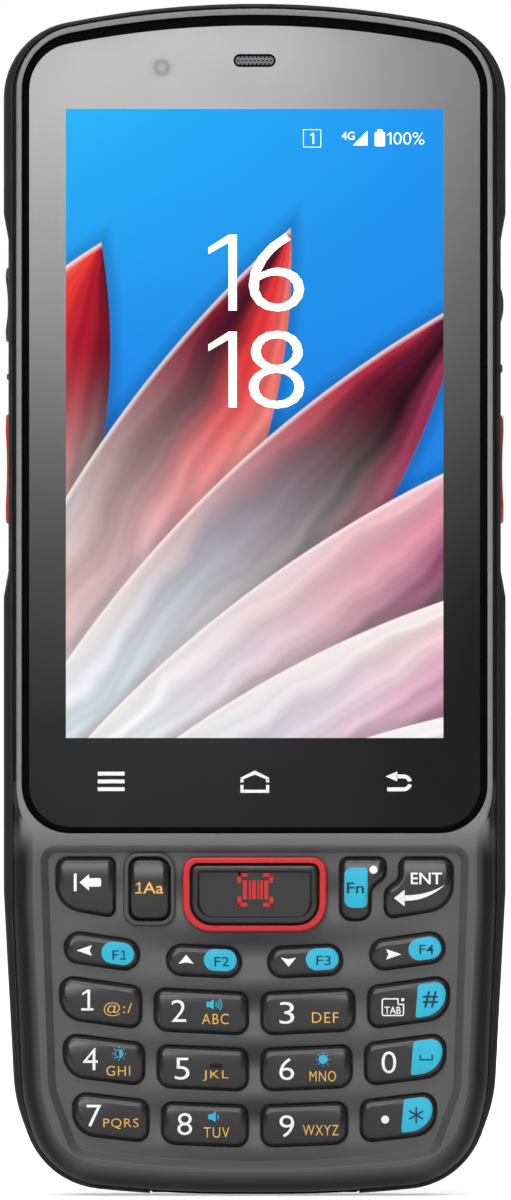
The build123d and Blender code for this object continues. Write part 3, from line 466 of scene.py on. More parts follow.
@dataclass(frozen=True)
class BlackGlass:
    """Toughened glass with a print behind it: deep and glossy, with a faint finger haze."""

    name: str
    colour: str
    roughness: float = 0.03
    specular: float = 0.5
    behind: str = "#0A0A0B"
    ior: float = 1.52
    haze_mm: float = 14.0
    haze_most: float = 0.05

    def build(self) -> Material:
        """Make the material.

        Returns:
            The material.
        """
        material, tree, shader = new_material(self.name)
        place = add(tree, "ShaderNodeTexCoord").outputs["Object"]
        haze = add(tree, "ShaderNodeTexNoise", {"Vector": place, "Scale": per_mm(self.haze_mm),
                                                "Detail": 3.0}).outputs["Fac"]
        gloss = add(tree, "ShaderNodeMapRange", {"Value": haze, "To Min": self.roughness,
                                                 "To Max": self.roughness + self.haze_most})
        tree.links.new(gloss.outputs["Result"], shader.inputs["Roughness"])
        colour = add(tree, "ShaderNodeMix", {0: haze, 6: linear(self.colour), 7: linear(self.behind)},
                     data_type="RGBA")
        tree.links.new(colour.outputs[2], shader.inputs["Base Color"])
        shader.inputs["IOR"].default_value = self.ior
        shader.inputs["Specular IOR Level"].default_value = self.specular
        return material


@dataclass(frozen=True)
class Ink:
    """Screen-printed ink: dense and even, with a slightly broken surface, drawn coarser than the real one."""

    name: str
    colour: str
    shade: str
    glow: float = 0.0
    roughness: float = 0.5
    specular: float = 0.3
    speckle_mm: float = 0.6
    speckle_height_mm: float = 0.004

    def build(self) -> Material:
        """Make the material.

        Returns:
            The material.
        """
        material, tree, shader = new_material(self.name)
        place = add(tree, "ShaderNodeTexCoord").outputs["Object"]
        speckle = add(tree, "ShaderNodeTexNoise", {"Vector": place, "Scale": per_mm(self.speckle_mm),
                                                   "Detail": 3.0}).outputs["Fac"]
        colour = add(tree, "ShaderNodeMix", {0: speckle, 6: linear(self.colour), 7: linear(self.shade)},
                     data_type="RGBA").outputs[2]
        tree.links.new(colour, shader.inputs["Base Color"])
        if self.glow:
            tree.links.new(colour, shader.inputs["Emission Color"])
            shader.inputs["Emission Strength"].default_value = self.glow
        shader.inputs["Roughness"].default_value = self.roughness
        shader.inputs["Specular IOR Level"].default_value = self.specular
        bump = add(tree, "ShaderNodeBump", {"Height": speckle, "Strength": 0.3,
                                            "Distance": self.speckle_height_mm * MM})
        tree.links.new(bump.outputs["Normal"], shader.inputs["Normal"])
        return material


class Print(Enum):
    """The inks that the legends are printed in."""

    WHITE = Ink("ink_white", "#F3F3F1", "#EBEBE9")
    AMBER = Ink("ink_amber", "#EFBE62", "#E4B050")
    CYAN = Ink("ink_cyan", "#2FB7D7", "#29A9CA")
    NAVY = Ink("ink_navy", "#0B3A4C", "#093343")
    RED = Ink("ink_red", "#D4282C", "#C42024")
    SCREEN = Ink("screen_white", "#FFFFFF", "#FDFEFF", glow=0.9)


INK_SLOT = {Print.WHITE: "ink_white", Print.AMBER: "ink_amber", Print.CYAN: "ink_cyan", Print.NAVY: "ink_navy",
            Print.RED: "ring_red", Print.SCREEN: "display"}

FINISHES: dict[str, MouldedPlastic | SoftRubber | Metal | BlackGlass] = {
    # satin polycarbonate: grey with a soft sheen and a paler rim; the flanks, groove, deck walls and ripple
    # valleys carry painted shade, and the edges are painted a little paler as wear and highlight
    "cover_grey": CoverPlastic("satin_polycarbonate_grey", "#5B5B5B", "#555555", roughness=0.4, grain_mm=0.3,
                               grain_height_mm=0.004, edge_wear_and_highlight_colour="#6C6C6C", edge_mm=0.2, specular=0.22),
    # spark-textured polycarbonate: dull black, its pale edges mostly painted highlight along the lip, patchy
    # like wear
    "housing_black": MouldedPlastic("textured_polycarbonate_black", "#1E1E1F", "#191919", grain_mm=0.45,
                                    grain_height_mm=0.02, edge_wear_and_highlight_colour="#8A8A8A", edge_mm=0.35, specular=0.16),
    # the same texture on a door that is gripped more: a shade paler
    "door_black": MouldedPlastic("textured_door_black", "#242425", "#1D1D1E", roughness=0.52, grain_mm=0.45,
                                 grain_height_mm=0.02, edge_wear_and_highlight_colour="#464647"),
    # acetal: slippery black with a low sheen
    "latch_black": MouldedPlastic("latch_acetal_black", "#1C1C1D", "#161617", roughness=0.4, grain_mm=0.3,
                                  grain_height_mm=0.008, edge_wear_and_highlight_colour="#48484A"),
    # hard-coated key plastic: near black, smooth, with a clear highlight on the domed tops
    "key_black": MouldedPlastic("satin_key_plastic", "#211F20", "#1D1C1C", roughness=0.29, grain_mm=0.25,
                                grain_height_mm=0.002, edge_mm=0.1, specular=0.5),
    # polished red plastic: a bright, wet-looking ring
    "ring_red": MouldedPlastic("gloss_red_plastic", "#C8202A", "#BE1B24", roughness=0.3, grain_mm=0.4,
                               grain_height_mm=0.002, edge_mm=0.15, specular=0.4),
    # satin plastic: a ring just paler than the keys
    "ring_grey": MouldedPlastic("satin_ring_grey", "#4A4A4C", "#434345", roughness=0.4, grain_mm=0.3,
                                grain_height_mm=0.004, edge_wear_and_highlight_colour="#7A7A7B", edge_mm=0.15),
    # satin plastic: warm red scan buttons
    "button_red": MouldedPlastic("satin_button_red", "#C4301F", "#B22A1B", roughness=0.4, grain_mm=0.3,
                                 grain_height_mm=0.006),
    # plain moulded modules and the home bar: flat black that stays in the background
    "module_black": MouldedPlastic("module_plastic_black", "#121213", "#0E0E0F", roughness=0.45, specular=0.2),
    # solder resist: smooth dark green with a varnish gloss
    "board_green": MouldedPlastic("circuit_board_resist", "#0F4A2A", "#0B3B21", roughness=0.3, grain_mm=0.8,
                                  grain_height_mm=0.004),
    # shrink film: smooth black with a slight unevenness
    "battery_wrap": MouldedPlastic("battery_film_black", "#1E1E20", "#17171A", roughness=0.35, grain_mm=1.2,
                                   grain_height_mm=0.004),
    # carbon-filled seal: takes up almost all light
    "seal_rubber": SoftRubber("seal_rubber", "#060606", "#0A0A0A", roughness=0.85, specular=0.02),
    # grey silicone: soft and dusty
    "mat_silicone": SoftRubber("mat_silicone", "#3A3A3C", "#444446"),
    # moulded rubber lid: matt black with a little dust
    "port_rubber": SoftRubber("port_rubber", "#121213", "#1B1B1C"),
    # punched steel sheet: dull grey
    "mesh_steel": Metal("mesh_steel", "#77777A", "#6A6A6C", roughness=0.45),
    # die-cast alloy: pale and soft-edged
    "frame_metal": Metal("die_cast_alloy", "#B4B4B8", "#A2A2A6", roughness=0.45),
    # rolled spring steel: bright, with streaks
    "dome_steel": Metal("spring_steel", "#C8C8CA", "#B8B8BA", roughness=0.25),
    # tin plate: warm grey with a low lustre
    "shield_tin": Metal("tin_plate", "#C0C0BC", "#A8A8A4"),
    # drawn steel: bright and clean
    "connector_steel": Metal("socket_steel", "#B9BABE", "#A3A4A8", roughness=0.25),
    # blackened steel: dark with bright rubbed lines
    "screw_steel": Metal("blackened_steel", "#4A4A4C", "#3A3A3C"),
    # gold plate: warm yellow and bright
    "contact_gold": Metal("gold_plate", "#E2BE6A", "#CFA957", roughness=0.22),
    # cover glass over black print: mirrors the room
    "cover_glass": BlackGlass("cover_glass_black", "#060607"),
    # filter plastic: deep red, nearly black, with a soft gloss
    "scan_window": BlackGlass("scan_window_filter", "#3A060C", roughness=0.14, specular=0.08),
    # camera window over black print
    "camera_window": BlackGlass("camera_window_black", "#050507"),
    # moulded lens with a milky look
    "flash_lens": BlackGlass("flash_lens_clear", "#D8D2B8", roughness=0.15),
    # display module: dark and smooth behind the lit picture
    "display": BlackGlass("display_module", "#101113", roughness=0.2),
}

INK: dict[Print, Material] = {}     # the inks that are made
MADE: dict[str, Material] = {}      # the finishes that are made, by material slot


# ---- mesh helpers ----------------------------------------------------------------------------
class Shape:
    """A flat shape under construction, in millimetres in the XZ plane, facing -Y."""

    CORNER_STEPS = 8
    LARGEST_CORNER = 0.499      # of the shorter side: at half, two corners would meet
    LETTER_STEPS = 4
    CUT_MERGE = 1e-5

    def __init__(self) -> None:
        """Start an empty shape."""
        self.mesh = bmesh.new()

    def _place(self, verts: Sequence[bmesh.types.BMVert], x: float, z: float, turn: float) -> None:
        """Stand flat geometry up in the XZ plane and move it.

        Args:
            verts: the new vertices, drawn in XY.
            x: centre to the right.
            z: centre upwards.
            turn: degrees, counter-clockwise as the user sees it.
        """
        stand = Matrix.Translation((x, 0, z)) @ Matrix.Rotation(math.radians(90), 4, "X")
        bmesh.ops.transform(self.mesh, matrix=stand @ Matrix.Rotation(math.radians(turn), 4, "Z"), verts=verts)

    def _round(self, corner: bmesh.types.BMVert, radius: float) -> None:
        """Round one corner of a flat face."""
        bmesh.ops.bevel(self.mesh, geom=[corner], offset=radius, affect="VERTICES", segments=self.CORNER_STEPS,
                        profile=0.5, material=-1)

    def bar(self, x: float, z: float, width: float, height: float, radius: float = 0.0,
            turn: float = 0.0) -> "Shape":
        """Add a rectangle with rounded corners.

        Args:
            x: centre to the right.
            z: centre upwards.
            width: full width.
            height: full height.
            radius: corner radius.
            turn: degrees.

        Returns:
            The shape itself.
        """
        before = set(self.mesh.verts)
        square = bmesh.ops.create_grid(self.mesh, x_segments=1, y_segments=1, size=0.5)["verts"]
        bmesh.ops.scale(self.mesh, vec=(width, height, 1), verts=square)
        if radius > 0:
            for corner in square:
                self._round(corner, min(radius, self.LARGEST_CORNER * min(width, height)))
        self._place([v for v in self.mesh.verts if v not in before], x, z, turn)
        return self

    def patch(self, corners: Sequence[tuple[float, float, float]]) -> "Shape":
        """Add a filled outline whose corners each have their own rounding.

        Args:
            corners: (x, z, radius) in order.

        Returns:
            The shape itself.
        """
        verts = [self.mesh.verts.new((x, 0, z)) for x, z, _ in corners]
        self.mesh.faces.new(verts)
        for vert, (_, _, radius) in zip(verts, corners):
            if radius > 0:
                self._round(vert, radius)
        return self

    def disc(self, x: float, z: float, radius: float, sides: int = 28) -> "Shape":
        """Add a filled circle.

        Args:
            x: centre to the right.
            z: centre upwards.
            radius: its radius.
            sides: how many edges it has.

        Returns:
            The shape itself.
        """
        verts = bmesh.ops.create_circle(self.mesh, cap_ends=True, segments=sides, radius=radius)["verts"]
        self._place(verts, x, z, 0.0)
        return self

    def arc(self, x: float, z: float, radius: float, width: float, start: float, end: float,
            steps: int = 20) -> "Shape":
        """Add part of a flat ring, by spinning a short edge.

        Args:
            x: centre to the right.
            z: centre upwards.
            radius: of the ring's middle line.
            width: of the ring.
            start: first angle in degrees, from the right, counter-clockwise.
            end: last angle.
            steps: how many facets it has.

        Returns:
            The shape itself.
        """
        before = set(self.mesh.verts)
        ends = [self.mesh.verts.new((radius + side * width / 2, 0, 0)) for side in (-1, 1)]
        edge = self.mesh.edges.new(ends)
        bmesh.ops.rotate(self.mesh, matrix=Matrix.Rotation(math.radians(start), 3, "Z"), verts=ends)
        bmesh.ops.spin(self.mesh, geom=[*ends, edge], axis=(0, 0, 1), cent=(0, 0, 0),
                       angle=math.radians(end - start), steps=steps, use_merge=end - start == 360)
        self._place([v for v in self.mesh.verts if v not in before], x, z, 0.0)
        return self

    def outline(self, x: float, z: float, width: float, height: float, radius: float,
                line: float) -> "Shape":
        """Add a rounded rectangle drawn as a line inside its limits.

        Args:
            x: centre to the right.
            z: centre upwards.
            width: full width.
            height: full height.
            radius: corner radius.
            line: how wide the line is.

        Returns:
            The shape itself.
        """
        before = set(self.mesh.faces)
        self.bar(x, z, width, height, radius)
        inner = [f for f in self.mesh.faces if f not in before]
        bmesh.ops.inset_region(self.mesh, faces=inner, thickness=line, use_even_offset=True,
                               use_boundary=True)
        bmesh.ops.delete(self.mesh, geom=inner, context="FACES")
        return self

    def text(self, words: str, x: float, z: float, width: float, height: float, weight: float = 0.0,
             spacing: float = 1.0) -> "Shape":
        """Add lettering that fills a given width and height.

        Args:
            words: what it says.
            x: centre to the right.
            z: centre upwards.
            width: full width of the ink.
            height: full height of the ink.
            weight: how much fatter the strokes are drawn, in font units.
            spacing: how far apart the letters are, 1 being the font's own.

        Returns:
            The shape itself.
        """
        curve = bpy.data.curves.new("lettering", "FONT")
        curve.body = words
        curve.offset = weight
        curve.space_character = spacing
        curve.resolution_u = self.LETTER_STEPS
        holder = bpy.data.objects.new("lettering", curve)
        bpy.context.scene.collection.objects.link(holder)
        flat = bpy.data.meshes.new_from_object(holder.evaluated_get(bpy.context.evaluated_depsgraph_get()))
        bpy.data.objects.remove(holder)
        before = set(self.mesh.verts)
        self.mesh.from_mesh(flat)
        bpy.data.meshes.remove(flat)
        verts = [v for v in self.mesh.verts if v not in before]
        low = [min(v.co[i] for v in verts) for i in (0, 1)]
        high = [max(v.co[i] for v in verts) for i in (0, 1)]
        middle = Vector(((low[0] + high[0]) / 2, (low[1] + high[1]) / 2, 0))
        bmesh.ops.translate(self.mesh, vec=-middle, verts=verts)
        fit = (width / (high[0] - low[0]), height / (high[1] - low[1]), 1)
        bmesh.ops.scale(self.mesh, vec=fit, verts=verts)
        self._place(verts, x, z, 0.0)
        return self

    def one(self, x: float, z: float, width: float, height: float, stroke: float,
            foot: bool = True) -> "Shape":
        """Add the digit one with a flag, and a foot if asked.

        Args:
            x: centre to the right.
            z: centre upwards.
            width: full width of the ink.
            height: full height of the ink.
            stroke: how wide its lines are.
            foot: whether it stands on a bar.

        Returns:
            The shape itself.
        """
        left, right, top, low = x - width / 2, x + width / 2, z + height / 2, z - height / 2
        stem = x + 0.12 * width if foot else right - stroke / 2
        self.bar(stem, z, stroke, height)
        shoulder, tip = stem - stroke / 2, left + (0.08 * width if foot else 0)
        flag = top - 0.17 * height
        self.patch([(shoulder, top, 0), (tip, flag, 0), (tip, flag - 0.8 * stroke, 0),
                    (shoulder, top - 0.95 * stroke, 0)])
        if foot:
            self.bar(x, low + stroke / 2, width, 0.9 * stroke)
        return self

    def finish(self, name: str, y: float, material: Material, body: str, slot: str,
               back: bool = False, grid: float = 0.0) -> bpy.types.Object:
        """Turn the flat shape into a piece.

        Args:
            name: the piece's name.
            y: its depth in millimetres.
            material: its finish.
            body: the body that it rides on.
            slot: the record's material slot; not used.
            back: whether it faces the back instead of the user.
            grid: if it is to lie on a curved part, how closely it is cut up, in millimetres.

        Returns:
            The new object.
        """
        if grid:
            for axis, along in ((0, Vector((1, 0, 0))), (2, Vector((0, 0, 1)))):
                low = min(v.co[axis] for v in self.mesh.verts)
                high = max(v.co[axis] for v in self.mesh.verts)
                for i in range(1, math.ceil((high - low) / grid)):
                    everything = self.mesh.verts[:] + self.mesh.edges[:] + self.mesh.faces[:]
                    bmesh.ops.bisect_plane(self.mesh, geom=everything, plane_co=along * (low + i * grid),
                                           plane_no=along, dist=self.CUT_MERGE)
        bmesh.ops.triangulate(self.mesh, faces=self.mesh.faces[:])
        for face in self.mesh.faces:
            face.normal_update()
            if (face.normal.y > 0) != back:
                face.normal_flip()
        bmesh.ops.translate(self.mesh, vec=(0, y, 0), verts=self.mesh.verts[:])
        bmesh.ops.scale(self.mesh, vec=(MM, MM, MM), verts=self.mesh.verts[:])
        return make_piece(name, self.mesh, material, body)


def to_object(name: str, mesh: bmesh.types.BMesh, material: Material) -> bpy.types.Object:
    """Turn a bmesh in metres into an object in the scene.

    Args:
        name: the object's name.
        mesh: its geometry, which is freed.
        material: its finish.

    Returns:
        The new object.
    """
    data = bpy.data.meshes.new(name)
    mesh.to_mesh(data)
    mesh.free()
    data.materials.append(material)
    made = bpy.data.objects.new(name, data)
    bpy.context.scene.collection.objects.link(made)
    return made


def make_piece(name: str, mesh: bmesh.types.BMesh, material: Material, body: str) -> bpy.types.Object:
    """Turn a bmesh in metres into a flat-shaded piece that rides on a body.

    Args:
        name: the piece's name.
        mesh: its geometry, which is freed.
        material: its finish.
        body: the body that it rides on.

    Returns:
        The new object.
    """
    for face in mesh.faces:
        face.smooth = False
    piece = to_object(name, mesh, material)
    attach(piece, body)
    LOG.info("piece %s: %d faces on %s", name, len(piece.data.polygons), body)
    return piece


class Drape:
    """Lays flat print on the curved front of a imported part."""

    IN_FRONT = -0.03    # metres, a depth from which nothing hides the part

    def __init__(self, node: str) -> None:
        """Read the part's surface.

        Args:
            node: the part's name.
        """
        data = frame["nodes"][node].data
        self.tree = BVHTree.FromPolygons([v.co.copy() for v in data.vertices],
                                         [tuple(p.vertices) for p in data.polygons])

    def apply(self, piece: bpy.types.Object, lift_mm: float) -> None:
        """Move every vertex along the depth until it lies just above the part.

        Args:
            piece: the flat print.
            lift_mm: how far it stands off.
        """
        for vertex in piece.data.vertices:
            start = Vector((vertex.co.x, self.IN_FRONT, vertex.co.z))
            hit, *_ = self.tree.ray_cast(start, Vector((0, 1, 0)))
            if hit is not None:
                vertex.co.y = hit.y - lift_mm * MM


# ---- screen ----------------------------------------------------------------------------------
@dataclass(frozen=True)
class Petal:
    """One silk petal of the lit picture: a leaf between two arcs, in millimetres from the middle.

    Its colours run across it from its left edge, once for its foot and once for its head.
    """

    base: tuple[float, float]
    tip: tuple[float, float]
    left: float
    right: float
    foot: tuple[str, str, str, str]
    head: tuple[str, str, str, str]

    def arc(self, side: int) -> tuple[tuple[float, float, float], float]:
        """Find the circle that bounds one side.

        Args:
            side: 1 for the left side, looking from base to tip, and -1 for the right.

        Returns:
            Its centre and its radius.
        """
        base, run = Vector(self.base), Vector(self.tip) - Vector(self.base)
        bulge = self.left if side > 0 else self.right
        radius = (run.length_squared / 4 + bulge ** 2) / (2 * bulge)
        outward = Vector((-run.y, run.x)).normalized() * side
        centre = base + run / 2 - outward * (radius - bulge)
        return (centre.x, 0.0, centre.y), radius


@dataclass(frozen=True)
class LitPicture:
    """A lit display: light comes from the picture itself, under a smooth glass that adds little gloss.

    Lengths are in millimetres from the picture's middle.
    """

    name: str
    centre_z: float
    height: float
    petals: tuple[Petal, ...]
    sky_left: str = "#28B4FA"
    sky_right: str = "#1B98F4"
    sky_low: str = "#1B84E6"
    sky_span: tuple[float, float] = (-26.0, 24.0)
    cloud_scale: float = 0.06    # clouds about 17 mm broad
    wander: float = 0.2
    head_share: tuple[float, float] = (0.25, 0.85)
    pleats: tuple[float, float] = (9.0, 0.9)
    pleat_light: tuple[float, float] = (0.74, 1.08)
    hem_colour: str = "#FFF2F0"
    hem_span: tuple[float, float] = (0.9, 0.1)
    hem_share: float = 0.75
    shadow_reach: float = 2.2
    shadow_light: float = 0.7
    edge_blur: float = 0.18
    roughness: float = 0.3
    specular: float = 0.05

    def build(self) -> Material:
        """Make the material: a blue sky behind a fan of silk petals.

        Returns:
            The material.
        """
        material, tree, shader = new_material(self.name)
        place = add(tree, "ShaderNodeTexCoord").outputs["Object"]
        centred = add(tree, "ShaderNodeMapping", {
            "Vector": place, "Scale": (per_mm(1), 0.0, per_mm(1)),
            "Location": (0.0, 0.0, -self.centre_z)}).outputs["Vector"]
        at = add(tree, "ShaderNodeSeparateXYZ", {"Vector": centred}).outputs
        up = add(tree, "ShaderNodeMapRange", {"Value": at["Z"], "From Max": self.height / 2})
        across = add(tree, "ShaderNodeMapRange", {"Value": at["X"], "From Min": self.sky_span[0],
                                                  "From Max": self.sky_span[1]})
        cloud = add(tree, "ShaderNodeTexNoise", {"Vector": centred, "Scale": self.cloud_scale,
                                                 "Detail": 2.0}).outputs["Fac"]
        high = add(tree, "ShaderNodeMix", {0: across.outputs["Result"], 6: linear(self.sky_left),
                                           7: linear(self.sky_right)}, data_type="RGBA").outputs[2]
        picture = add(tree, "ShaderNodeMix", {0: up.outputs["Result"], 6: linear(self.sky_low), 7: high},
                      data_type="RGBA").outputs[2]
        for petal in self.petals:
            picture = self.lay(tree, petal, picture, centred, cloud)
        tree.links.new(picture, shader.inputs["Emission Color"])
        shader.inputs["Base Color"].default_value = linear("#000000")
        shader.inputs["Emission Strength"].default_value = 1.0
        shader.inputs["Specular IOR Level"].default_value = self.specular
        shader.inputs["Roughness"].default_value = self.roughness
        return material

    @staticmethod
    def ramp(tree: NodeTree, place: NodeSocket, colours: Sequence[str]) -> NodeSocket:
        """Run through colours evenly.

        Args:
            tree: the node tree.
            place: 0 at the first colour and 1 at the last.
            colours: hex colours.

        Returns:
            The colour.
        """
        made = add(tree, "ShaderNodeValToRGB", {"Fac": place})
        made.color_ramp.interpolation = "EASE"
        for i in range(1, len(colours) - 1):
            made.color_ramp.elements.new(i / (len(colours) - 1))
        for element, colour in zip(made.color_ramp.elements, colours):
            element.color = linear(colour)
        return made.outputs["Color"]

    def silk(self, tree: NodeTree, petal: Petal, over: NodeSocket, centred: NodeSocket) -> NodeSocket:
        """Colour one petal, from its foot's colours to its head's, with soft pleats along it.

        Args:
            tree: the node tree.
            petal: the petal.
            over: 0 at its left edge and 1 at its right.
            centred: place from the picture's middle, in millimetres.

        Returns:
            The colour.
        """
        run = Vector(petal.tip) - Vector(petal.base)
        step = run / run.length_squared
        along = add(tree, "ShaderNodeVectorMath", {0: centred, 1: (step.x, 0.0, step.y)},
                    operation="DOT_PRODUCT").outputs["Value"]
        along = add(tree, "ShaderNodeMath", {0: along, 1: -step.dot(Vector(petal.base))},
                    operation="ADD").outputs["Value"]
        grown = add(tree, "ShaderNodeMapRange", {"Value": along, "From Min": self.head_share[0],
                                                 "From Max": self.head_share[1]},
                    interpolation_type="SMOOTHSTEP").outputs["Result"]
        colour = add(tree, "ShaderNodeMix", {0: grown, 6: self.ramp(tree, over, petal.foot),
                                             7: self.ramp(tree, over, petal.head)},
                     data_type="RGBA").outputs[2]
        pleats = add(tree, "ShaderNodeCombineXYZ", {"X": over, "Y": along})
        pleats = add(tree, "ShaderNodeVectorMath", {0: pleats.outputs["Vector"], 1: (*self.pleats, 0.0)},
                     operation="MULTIPLY")
        pleats = add(tree, "ShaderNodeTexNoise", {"Vector": pleats.outputs["Vector"], "Scale": 1.0,
                                                  "Detail": 0.6}).outputs["Fac"]
        shade = add(tree, "ShaderNodeMapRange", {
            "Value": pleats, "From Min": 0.3, "From Max": 0.7, "To Min": self.pleat_light[0],
            "To Max": self.pleat_light[1]}).outputs["Result"]
        return add(tree, "ShaderNodeVectorMath", {0: colour, 3: shade}, operation="SCALE").outputs["Vector"]

    def lay(self, tree: NodeTree, petal: Petal, below: NodeSocket, centred: NodeSocket,
            cloud: NodeSocket) -> NodeSocket:
        """Lay one petal over what is there, with a pale hem and a soft shadow round it.

        Args:
            tree: the node tree.
            petal: the petal.
            below: the colour so far.
            centred: place from the picture's middle, in millimetres.
            cloud: a broad noise that keeps the shading from being even.

        Returns:
            The new colour.
        """
        depths = []
        for side in (1, -1):
            centre, radius = petal.arc(side)
            reach = add(tree, "ShaderNodeVectorMath", {0: centred, 1: centre}, operation="DISTANCE")
            depth = add(tree, "ShaderNodeMath", {0: radius, 1: reach.outputs["Value"]}, operation="SUBTRACT")
            depths.append(depth.outputs["Value"])
        left, right = depths
        inside = add(tree, "ShaderNodeMath", {0: left, 1: right}, operation="MINIMUM").outputs["Value"]
        whole = add(tree, "ShaderNodeMath", {0: left, 1: right}, operation="ADD").outputs["Value"]
        over = add(tree, "ShaderNodeMath", {0: left, 1: whole}, operation="DIVIDE").outputs["Value"]
        over = add(tree, "ShaderNodeMath", {0: cloud, 1: 2 * self.wander, 2: over},
                   operation="MULTIPLY_ADD").outputs["Value"]
        over = add(tree, "ShaderNodeMath", {0: over, 1: self.wander}, operation="SUBTRACT").outputs["Value"]
        colour = self.silk(tree, petal, over, centred)
        hem = add(tree, "ShaderNodeMapRange", {
            "Value": left, "From Min": self.hem_span[0], "From Max": self.hem_span[1],
            "To Max": self.hem_share}, interpolation_type="SMOOTHSTEP").outputs["Result"]
        colour = add(tree, "ShaderNodeMix", {0: hem, 6: colour, 7: linear(self.hem_colour)},
                     data_type="RGBA").outputs[2]
        shadow = add(tree, "ShaderNodeMapRange", {
            "Value": inside, "From Min": -self.shadow_reach, "From Max": 0.0, "To Min": 1.0,
            "To Max": self.shadow_light}, interpolation_type="SMOOTHSTEP").outputs["Result"]
        below = add(tree, "ShaderNodeVectorMath", {0: below, 3: shadow}, operation="SCALE").outputs["Vector"]
        mask = add(tree, "ShaderNodeMapRange", {"Value": inside, "From Max": self.edge_blur})
        return add(tree, "ShaderNodeMix", {0: mask.outputs["Result"], 6: below, 7: colour},
                   data_type="RGBA").outputs[2]


